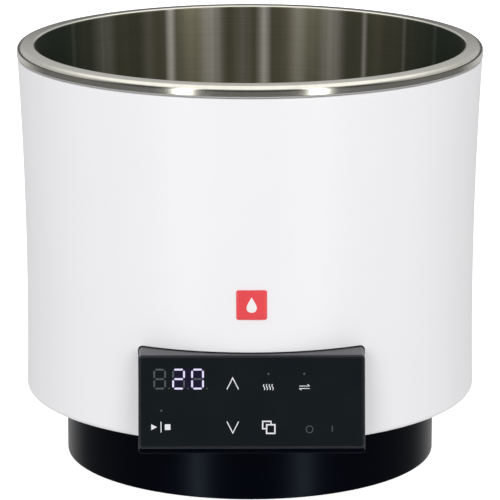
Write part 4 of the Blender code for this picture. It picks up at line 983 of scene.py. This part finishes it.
def bent_plate(name, outline, steps):
    """An outline (x, z) about the badge's middle, scaled and lifted off the shell step by step."""
    x, z = outline[:, 0], outline[:, 1]
    return ring_grid(name, [on_shell(x * scale, BADGE_Z + z * scale, lift) for scale, lift in steps])


square = rounded_outline(BADGE_WIDTH, -BADGE_HEIGHT / 2, BADGE_HEIGHT / 2, BADGE_ROUND)
soft = 1.0 - 2 * BADGE_SOFT / BADGE_WIDTH
badge_steps = [(0.3, BADGE_GAP), (0.7, BADGE_GAP), (1.0, BADGE_GAP), (1.0, BADGE_THICK - BADGE_SOFT)]
badge_steps += [((1.0 + soft) / 2 + 0.002, BADGE_THICK - BADGE_SOFT * 0.3), (soft, BADGE_THICK)]
badge_steps += [(0.7, BADGE_THICK), (0.35, BADGE_THICK)]
badge = bent_plate("badge_plate", square, badge_steps)
coat(badge, moulded("red_enamel", (0.8, 0.07, 0.08), 0.28, 0.0012, 0.000004))
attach(badge, "housing")
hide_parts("badge")

turn = full_turn(48)
drop_x = DROP_FATNESS * DROP_HEIGHT * np.sin(turn) * np.sin(turn / 2) ** 1.5
drop = np.stack([drop_x, DROP_HEIGHT / 2 * np.cos(turn) + DROP_RISE], axis=1)
drop_back, drop_front = BADGE_THICK - DROP_RELIEF, BADGE_THICK + DROP_RELIEF
drop_steps = [(0.5, drop_back), (1.0, drop_back), (1.0, BADGE_THICK + DROP_RELIEF * 0.6)]
drop_steps += [(0.96, drop_front), (0.5, drop_front)]
water_drop = bent_plate("badge_drop", drop, drop_steps)
coat(water_drop, moulded("white_enamel", (0.88, 0.86, 0.86), 0.3, 0.0012, 0.000004))
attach(water_drop, "housing")


# ---------------------------------------------------------------------------- Mains inlet, fuse drawer
# The flanged mains inlet in the plinth's flat side, with three blade pins in its socket and a drawer for two
# fuses below. Outlines are carried along Y with soft edges, then the hollows are cut.

INLET_STEM = (0.0270, 0.0290)
INLET_FLANGE = (0.0300, 0.0320)
FLANGE_DEEP = 0.0020
STEM_ROUND = 0.0008
FLANGE_ROUND = 0.0015
FLANGE_SOFT = 0.0005
SOCKET_SIZE = (0.0240, 0.0154)
SOCKET_DEEP = 0.0160
SOCKET_ROUND = 0.004
SOCKET_RISE = 0.0055
SHARP = 0.0003  # round of small corners
BLADE_SOFT = 0.0006
DRAWER_ROOM = (0.0236, 0.0092)
DRAWER_DEEP = 0.0203
DRAWER_PLAY = 0.0006
HANDLE_GAP = 0.0003
HANDLE_ROUND = 0.0008
HANDLE_SOFT = 0.0004
NOTCH = (0.0120, 0.0016)
NOTCH_DEEP = 0.0007
NOTCH_DROP = 0.0022  # from the handle's top
NOTCH_ROUND = 0.0007
FUSE_ROOM = (0.0206, 0.0058)
FUSE_PLACES = (0.0060, 0.0135)
TRAY_FLOOR = 0.0012
INLET_BACK = inlet_high.y
PAST = 0.002  # how far a cutter runs past the piece


def softened(width, tall, height, round_by, y, soft, x=0.0):
    """The steps that round the rear edge of a prism: inset s (1 - cos a), y - s (1 - sin a)."""
    steps = []
    for turn in np.radians(np.linspace(0.0, 90.0, 5)):
        inset = soft * (1.0 - math.cos(turn))
        outline = boxed(width - 2 * inset, tall - 2 * inset, height, max(round_by - inset, 0.00005), x)
        steps.append((outline, y - soft * (1.0 - math.sin(turn))))
    return steps


stem = boxed(*INLET_STEM, INLET_HEIGHT, STEM_ROUND)
flange_start = INLET_BACK - FLANGE_DEEP
inlet_steps = [(stem, inlet_low.y), (stem, flange_start)]
inlet_steps += [(boxed(*INLET_FLANGE, INLET_HEIGHT, FLANGE_ROUND), flange_start)]
inlet_steps += softened(*INLET_FLANGE, INLET_HEIGHT, FLANGE_ROUND, INLET_BACK, FLANGE_SOFT)
inlet = prism("mains_inlet", inlet_steps)
socket = boxed(*SOCKET_SIZE, INLET_HEIGHT + SOCKET_RISE, SOCKET_ROUND, rounds=(0.1, 1, 1, 0.1))
cut(inlet, socket, INLET_BACK - SOCKET_DEEP, INLET_BACK + PAST)
drawer_low, drawer_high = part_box("fuse_drawer")
DRAWER_HEIGHT = (drawer_low.z + drawer_high.z) / 2
cut(inlet, boxed(*DRAWER_ROOM, DRAWER_HEIGHT, SHARP), INLET_BACK - DRAWER_DEEP, INLET_BACK + PAST)
black_fitting = moulded("black_fitting", (0.012, 0.012, 0.013), 0.38, 0.0005, 0.00002)
coat(inlet, black_fitting)
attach(inlet, "housing")
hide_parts("inlet_body")

plain_brass = moulded("plain_brass", (0.75, 0.58, 0.3), 0.28, 0.0006, 0.00001, metallic=1.0)
for pin_number in (1, 2, 3):
    pin_low, pin_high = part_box(f"inlet_pin_{pin_number}")
    size = pin_high - pin_low
    pin_x, pin_z = (pin_low.x + pin_high.x) / 2, (pin_low.z + pin_high.z) / 2
    start = [(boxed(size.x, size.z, pin_z, SHARP, pin_x), pin_low.y)]
    blade_end = softened(size.x, size.z, pin_z, SHARP, pin_high.y, BLADE_SOFT, pin_x)
    blade = prism(f"blade_{pin_number}", start + blade_end)
    coat(blade, plain_brass)
    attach(blade, "housing")
    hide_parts(f"inlet_pin_{pin_number}")

drawer_wide, drawer_tall = (room - DRAWER_PLAY for room in DRAWER_ROOM)
tray = boxed(drawer_wide, drawer_tall, DRAWER_HEIGHT, SHARP)
handle = (drawer_high.x - drawer_low.x, drawer_high.z - drawer_low.z, DRAWER_HEIGHT, HANDLE_ROUND)
handle_start = INLET_BACK + HANDLE_GAP
drawer_steps = [(tray, drawer_low.y), (tray, handle_start), (boxed(*handle), handle_start)]
drawer = prism("fuse_tray", drawer_steps + softened(*handle, drawer_high.y, HANDLE_SOFT))
pocket = boxed(FUSE_ROOM[0], drawer_tall, DRAWER_HEIGHT + TRAY_FLOOR, SHARP)
for behind in FUSE_PLACES:
    pocket_y = INLET_BACK - behind
    cut(drawer, pocket, pocket_y - FUSE_ROOM[1] / 2, pocket_y + FUSE_ROOM[1] / 2)
notch = boxed(*NOTCH, DRAWER_HEIGHT + handle[1] / 2 - NOTCH_DROP, NOTCH_ROUND)
cut(drawer, notch, drawer_high.y - NOTCH_DEEP, drawer_high.y + PAST)
coat(drawer, black_fitting)
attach(drawer, "drawer")
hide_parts("fuse_drawer")


# -------------------------------------------------------------------------- Link socket, reset button
# Right and left of the inlet: a round socket with five small contacts, and the reset breaker's hexagonal nut
# and red button. All are turned about axes along Y.

LINK_PROFILE = (
    (0.0, -0.0160), (0.0074, -0.0160), (0.0078, -0.0156), (0.0078, 0.0), (0.0095, 0.0),
    (0.0095, 0.0012), (0.0093, 0.0016), (0.0089, 0.0018), (0.0066, 0.0018), (0.0063, 0.0016),
    (0.0062, 0.0013), (0.0062, -0.0052), (0.0, -0.0052),
)
CONTACT_RADIUS = 0.0005
CONTACT_CIRCLE = 0.0033
CONTACT_PROFILE = (
    (0.0, -0.0056), (CONTACT_RADIUS, -0.0056), (CONTACT_RADIUS, -0.0018), (0.0003, -0.0014), (0.0, -0.0014),
)
NUT_FLAT = 0.0080 * math.cos(math.pi / 6)  # from its middle to a flat side
NUT_HOLE = 0.0051
NUT_CHAMFER = 0.0003
BUTTON_SOFT = 0.0008
BUTTON_DISH = 0.0003


def turned_along_y(name, profile, x, z, sides=48, hexagon=0.0):
    """Points (r, y) turned about an axis along Y: x + r cos a, z + r sin a.

    With a hexagon, each ring reaches no further than its flats: r(a) = min(r, flat / cos(a folded to 30
    degrees either side of a flat)).
    """
    profile = np.asarray(profile, float)
    turn = full_turn(sides)
    r = np.repeat(profile[:, :1], sides, axis=1)
    if hexagon:
        folded = (turn + math.pi / 6) % (math.pi / 3) - math.pi / 6
        r = np.minimum(r, hexagon / np.cos(folded))
    points = [x + r * np.cos(turn), profile[:, 1:] + 0.0 * r, z + r * np.sin(turn)]
    return ring_grid(name, np.stack(points, axis=-1), closed=True)


link_profile = np.array(LINK_PROFILE) + (0.0, flange_start)
link_socket = turned_along_y("link_socket", link_profile, SYNC_X, INLET_HEIGHT, 72)
coat(link_socket, black_fitting)
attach(link_socket, "housing")
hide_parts("sync_socket")
contact_profile = np.array(CONTACT_PROFILE) + (0.0, flange_start)
for number in range(5):
    turn = math.radians(-30.0 + 60.0 * number)
    place = (SYNC_X + CONTACT_CIRCLE * math.cos(turn), INLET_HEIGHT + CONTACT_CIRCLE * math.sin(turn))
    contact = turned_along_y(f"contact_{number + 1}", contact_profile, *place, 16)
    coat(contact, plain_brass)
    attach(contact, "housing")

nut_deep = nut_high.y - nut_low.y
nut_profile = np.array([
    (NUT_HOLE, 0.0), (0.0090, 0.0), (0.0090, nut_deep - 0.0011), (0.0076, nut_deep - NUT_CHAMFER),
    (0.0072, nut_deep), (NUT_HOLE + NUT_CHAMFER, nut_deep), (NUT_HOLE, nut_deep - NUT_CHAMFER),
])
nut_profile += (0.0, nut_low.y)
nut = turned_along_y("hexagonal_nut", nut_profile, BREAKER_X, INLET_HEIGHT, 96, NUT_FLAT)
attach(nut, "housing")
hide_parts("breaker_nut")

button_low, button_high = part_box("reset_button")
button_radius = (button_high.x - button_low.x) / 2
button_end = button_high.y - button_low.y
crown_radius = button_radius - BUTTON_SOFT
dish_end = button_end - BUTTON_DISH
button_profile = np.concatenate([
    [(0.0, 0.0), (button_radius, 0.0)],
    arc(crown_radius, button_end - BUTTON_SOFT, BUTTON_SOFT, 0, 90, 6),
    [(crown_radius - 0.0003, button_end - BUTTON_DISH * 0.3), (0.0009, dish_end), (0.0, dish_end)],
])
button_profile += (0.0, button_low.y)
button = turned_along_y("red_button", button_profile, BREAKER_X, INLET_HEIGHT, 40)
coat(button, moulded("red_plastic", (0.55, 0.03, 0.03), 0.35, 0.0005, 0.00001))
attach(button, "button")
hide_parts("reset_button")


# ----------------------------------------------------------------------------------- Rocker and feet
# The mains rocker's paddle, with a hollow press face, and four rubber feet with a ribbed side.

ROCKER_HALF = 0.0078
ROCKER_WIDTH = 0.0090
ROCKER_REST = math.radians(-8.0)
PADDLE_TOP = 0.0054
PADDLE_NECK = 0.002
PADDLE_STEPS = ((0.94, -0.5), (0.985, -0.485), (1.0, -0.45), (1.0, 0.45), (0.985, 0.485), (0.94, 0.5))
STEM_RADIUS = 0.003
STEM_LENGTH = 0.005
FOOT_SOFT = 0.0006
FOOT_HEEL = 0.0009


def paddle_outline():
    """The paddle's side (x, z) about its axle: below, z = -0.0016 - 0.0014 (x / half)^2."""
    x = np.linspace(-ROCKER_HALF, ROCKER_HALF, 17)
    below = np.stack([x, -0.0016 - 0.0014 * (x / ROCKER_HALF) ** 2], axis=1)
    shoulder = ROCKER_HALF - 0.001
    above = [(shoulder, 0.0012), (PADDLE_NECK, PADDLE_TOP), (-PADDLE_NECK, PADDLE_TOP), (-shoulder, 0.0012)]
    x, z = np.concatenate([below, above]).T
    cosine, sine = math.cos(ROCKER_REST), math.sin(ROCKER_REST)
    return np.stack([x * cosine + z * sine, z * cosine - x * sine], axis=1)


outline = paddle_outline()
paddle_steps = []
for scale, off in PADDLE_STEPS:
    paddle_steps.append((outline * scale + (ROCKER_X, SHELL_BOTTOM), ROCKER_Y + off * ROCKER_WIDTH))
paddle = prism("rocker_paddle", paddle_steps)
coat(paddle, black_fitting)
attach(paddle, "rocker_paddle")
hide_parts("rocker")

rubber = moulded("black_rubber", (0.018, 0.018, 0.018), 0.75, 0.0007, 0.00004)
for number in (1, 2, 3, 4):
    foot_low, foot_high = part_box(f"foot_{number}")
    centre = ((foot_low.x + foot_high.x) / 2, (foot_low.y + foot_high.y) / 2)
    radius = (foot_high.x - foot_low.x) / 2
    top = foot_high.z - STEM_LENGTH
    heel = np.concatenate([
        [(0.0, foot_high.z), (0.0026, foot_high.z)],
        [(STEM_RADIUS, foot_high.z - 0.0004), (STEM_RADIUS, top)],
        arc(radius - FOOT_SOFT, top - FOOT_SOFT, FOOT_SOFT, 90, 0, 5),
        [(radius - 0.0004, top * 0.55), (radius, top * 0.4)],
        arc(radius - FOOT_HEEL, FOOT_HEEL, FOOT_HEEL, 0, -90, 6),
        [(radius * 0.55, 0.0), (radius * 0.5, 0.0003), (0.0, 0.0003)],
    ])
    foot = turned(f"rubber_foot_{number}", heel, centre, 48)
    coat(foot, rubber)
    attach(foot, "housing")
    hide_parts(f"foot_{number}")


# ------------------------------------------------------------------------------------ Other pieces
# Pieces whose CAD shape is right keep it and get the finish of what they are made of: the fittings at the
# rear and below, and everything inside the shell.


def make_plated_steel():
    """Zinc-plated sheet and screws: pale metal with a soft spangle and a few dull spots."""
    made, tree, shader = finish("plated_steel", (0.6, 0.6, 0.58), 0.36, 1.0)
    spangle, wear = skinned(tree, 0.0008, 0.012)
    colour = blended(tree, wear, (0.48, 0.48, 0.47), (0.72, 0.71, 0.68))
    feed(shader, {"Base Color": colour, "Roughness": between(tree, spangle, 0.26, 0.5)})
    raise_by(shader, spangle, 0.00001)
    return made


def make_board_green():
    """Circuit board: green solder mask over a net of copper tracks, with pale pads."""
    made, tree, shader = finish("circuit_board", (0.02, 0.16, 0.07), 0.4)
    place = node(tree, "TexCoord").outputs["Object"]
    tracks = node(tree, "TexBrick", {"Vector": place, "Scale": 160.0, "Mortar Size": 0.06}).outputs["Fac"]
    cells = node(tree, "TexVoronoi", {"Vector": place, "Scale": 320.0}).outputs["Distance"]
    pads = ramp(tree, cells, 0.16, 0.12, interpolation="LINEAR")
    colour = blended(tree, tracks, (0.015, 0.12, 0.05), (0.05, 0.26, 0.12))
    feed(shader, {"Base Color": blended(tree, pads, colour, (0.62, 0.6, 0.52))})
    raise_by(shader, tracks, 0.00003)
    return made


def make_felt():
    """Needled mineral felt: matted fibres, pale and uneven."""
    made, tree, shader = finish("mineral_felt", (0.6, 0.56, 0.46), 0.95)
    place = node(tree, "TexCoord").outputs["Object"]
    values = {"Vector": place, "Scale": 420.0, "Detail": 6.0, "Distortion": 1.6}
    fibres = node(tree, "TexNoise", values).outputs["Fac"]
    feed(shader, {"Base Color": blended(tree, fibres, (0.4, 0.36, 0.28), (0.74, 0.7, 0.6))})
    raise_by(shader, fibres, 0.0006)
    return made


plated_steel = make_plated_steel()
coat(nut, plated_steel)
cast_aluminium = moulded("cast_aluminium", (0.62, 0.62, 0.63), 0.45, 0.0009, 0.00005, metallic=1.0)
circuit_board, mineral_felt = make_board_green(), make_felt()
fuse_ceramic = moulded("fuse_ceramic", (0.78, 0.76, 0.7), 0.45, 0.0006, 0.00001)
red_sleeving = moulded("red_sleeving", (0.42, 0.03, 0.03), 0.5, 0.0006, 0.00004)
plain_steel = moulded("plain_steel", (0.58, 0.57, 0.54), 0.3, 0.0006, 0.00001, metallic=1.0)
FITTINGS = (
    (plated_steel, "base_plate base_screw_ pan_screw_ console_screw_ chassis_pan clamp_ tie_"),
    (plated_steel, "line_filter transformer"),
    (cast_aluminium, "heater heat_sink overheat_cutout"),
    (plain_brass, "standoff_"),
    (black_fitting, "rocker_body breaker_body power_relay display_module"),
    (circuit_board, "main_board display_board"),
    (mineral_felt, "insulation_"),
    (fuse_ceramic, "fuse_1 fuse_2"),
    (red_sleeving, "heater_lead_"),
    (plain_steel, "temperature_sensor"),
)
finish_of = {start: made for made, starts in FITTINGS for start in starts.split()}
for name, cad_piece in nodes.items():
    starts = [start for start in finish_of if name.startswith(start)]
    if starts:
        cad_piece.data.materials.clear()
        coat(cad_piece, finish_of[max(starts, key=len)])


# ------------------------------------------------------------------------------------------- Studio
# A pale floor in white surroundings, lit from in front by two broad soft lights. Gloss mirrors the studio
# itself: a pale wall behind the bath, two upright strip lights in front and darkness between them.

FLOOR_REACH = 3.0
floor_corners = [(x * FLOOR_REACH, y * FLOOR_REACH, 0.0) for x, y in ((-1, -1), (1, -1), (1, 1), (-1, 1))]
floor_mesh = bpy.data.meshes.new("studio_floor")
floor_mesh.from_pydata(floor_corners, [], [(0, 1, 2, 3)])
studio_floor = added("studio_floor", floor_mesh)
floor_finish, _, floor_shader = finish("pale_floor", (0.7, 0.7, 0.7), 0.8, specular=0.0)
floor_shader.inputs["Emission Color"].default_value = (1.0, 1.0, 1.0, 1.0)
floor_shader.inputs["Emission Strength"].default_value = 0.85
coat(studio_floor, floor_finish)
studio_floor.visible_glossy = False
studio_floor.visible_diffuse = False

LIGHT_BEFORE = 0.54  # brightness of the surroundings as light: before, beside and behind the bath
LIGHT_BESIDE = 1.35
LIGHT_BEHIND = 0.8
STRIP_TURN = 33.0
STRIP_HALF = 3.6
STRIP_GLOW = 2.9
WALL_GLOW = 0.46
DARK_GLOW = 0.05
TABLE_GLOW = 0.1
TABLE_BEHIND = 0.4
OVERHEAD_GLOW = 1.1

world = bpy.data.worlds.new("studio")
world.use_nodes = True
bpy.context.scene.world = world
sky = world.node_tree
background = sky.nodes["Background"]
ray = node(sky, "LightPath").outputs
aim = node(sky, "SeparateXYZ", {0: node(sky, "TexCoord").outputs["Generated"]})
across, back, up = (aim.outputs[axis] for axis in "XYZ")
wall = maths(sky, "MULTIPLY", ramp(sky, up, 0.12, 0.2), ramp(sky, up, 0.72, 0.42))
wall = maths(sky, "MULTIPLY", wall, ramp(sky, back, -0.55, 0.1))
turn_off = maths(sky, "ABSOLUTE", maths(sky, "ARCTAN2", across, maths(sky, "MULTIPLY", back, -1.0)))
turn_off = maths(sky, "ABSOLUTE", maths(sky, "SUBTRACT", turn_off, math.radians(STRIP_TURN)))
strip = ramp(sky, turn_off, math.radians(STRIP_HALF * 1.8), math.radians(STRIP_HALF * 0.6))
strip = maths(sky, "MULTIPLY", strip, ramp(sky, up, 0.75, 0.5))
lid = maths(sky, "MULTIPLY", ramp(sky, up, 0.4, 0.8), OVERHEAD_GLOW)
table = maths(sky, "MULTIPLY_ADD", ramp(sky, back, 0.5, 0.9), TABLE_BEHIND, TABLE_GLOW)
table = maths(sky, "MULTIPLY", table, ramp(sky, up, 0.02, -0.06))
mirrored = maths(sky, "MULTIPLY_ADD", wall, WALL_GLOW, DARK_GLOW)
mirrored = maths(sky, "MULTIPLY_ADD", strip, STRIP_GLOW, mirrored)
mirrored = maths(sky, "ADD", maths(sky, "ADD", mirrored, lid), table)
light = maths(sky, "MULTIPLY_ADD", ramp(sky, back, -0.3, 0.2), LIGHT_BESIDE - LIGHT_BEFORE, LIGHT_BEFORE)
light = maths(sky, "MULTIPLY_ADD", ramp(sky, back, 0.4, 0.8), LIGHT_BEHIND - LIGHT_BESIDE, light)
seen = node(sky, "Mix", {0: ray["Is Camera Ray"], 2: light, 3: 1.0}).outputs[0]
seen = node(sky, "Mix", {0: ray["Is Glossy Ray"], 2: seen, 3: mirrored}).outputs[0]
feed(background, {"Strength": seen})
background.inputs["Color"].default_value = (1.0, 1.0, 1.0, 1.0)


def soft_light(name, place, target, size, power):
    """A rectangular light that faces its target and isn't mirrored in gloss."""
    light = bpy.data.lights.new(name, "AREA")
    light.shape = "RECTANGLE"
    light.size, light.size_y = size
    light.energy = power
    lamp = added(name, light)
    lamp.location = place
    lamp.rotation_euler = (Vector(target) - Vector(place)).to_track_quat("-Z", "Y").to_euler()
    lamp.visible_glossy = False


TARGET = Vector((0.0, BATH_Y, RIM_TOP - 0.1199))
FRONT_REACH = 2.2
FRONT_HEIGHT = 0.6
for turn in (math.radians(-14.0), math.radians(14.0)):
    away = (FRONT_REACH * math.sin(turn), -FRONT_REACH * math.cos(turn), FRONT_HEIGHT)
    soft_light("front_light", away, TARGET, (0.6, 0.9), 12.5)


# ------------------------------------------------------------------------------------------- Camera
# Long lens, a little above the rim, almost straight in front.

CAMERA_PITCH = math.radians(13.71)
CAMERA_TURN = math.radians(0.4)
CAMERA_DISTANCE = 1.9668
lens = bpy.data.cameras.new("view_camera")
lens.lens = 249.4
lens.sensor_width = 36.0
lens.clip_end = 20.0
camera = added("view_camera", lens)
level = math.cos(CAMERA_PITCH)
towards = Vector((-math.sin(CAMERA_TURN) * level, -math.cos(CAMERA_TURN) * level, math.sin(CAMERA_PITCH)))
camera.location = TARGET + towards * CAMERA_DISTANCE
camera.rotation_euler = (-towards).to_track_quat("-Z", "Y").to_euler()
bpy.context.scene.camera = camera
bpy.context.scene.view_settings.view_transform = "Standard"
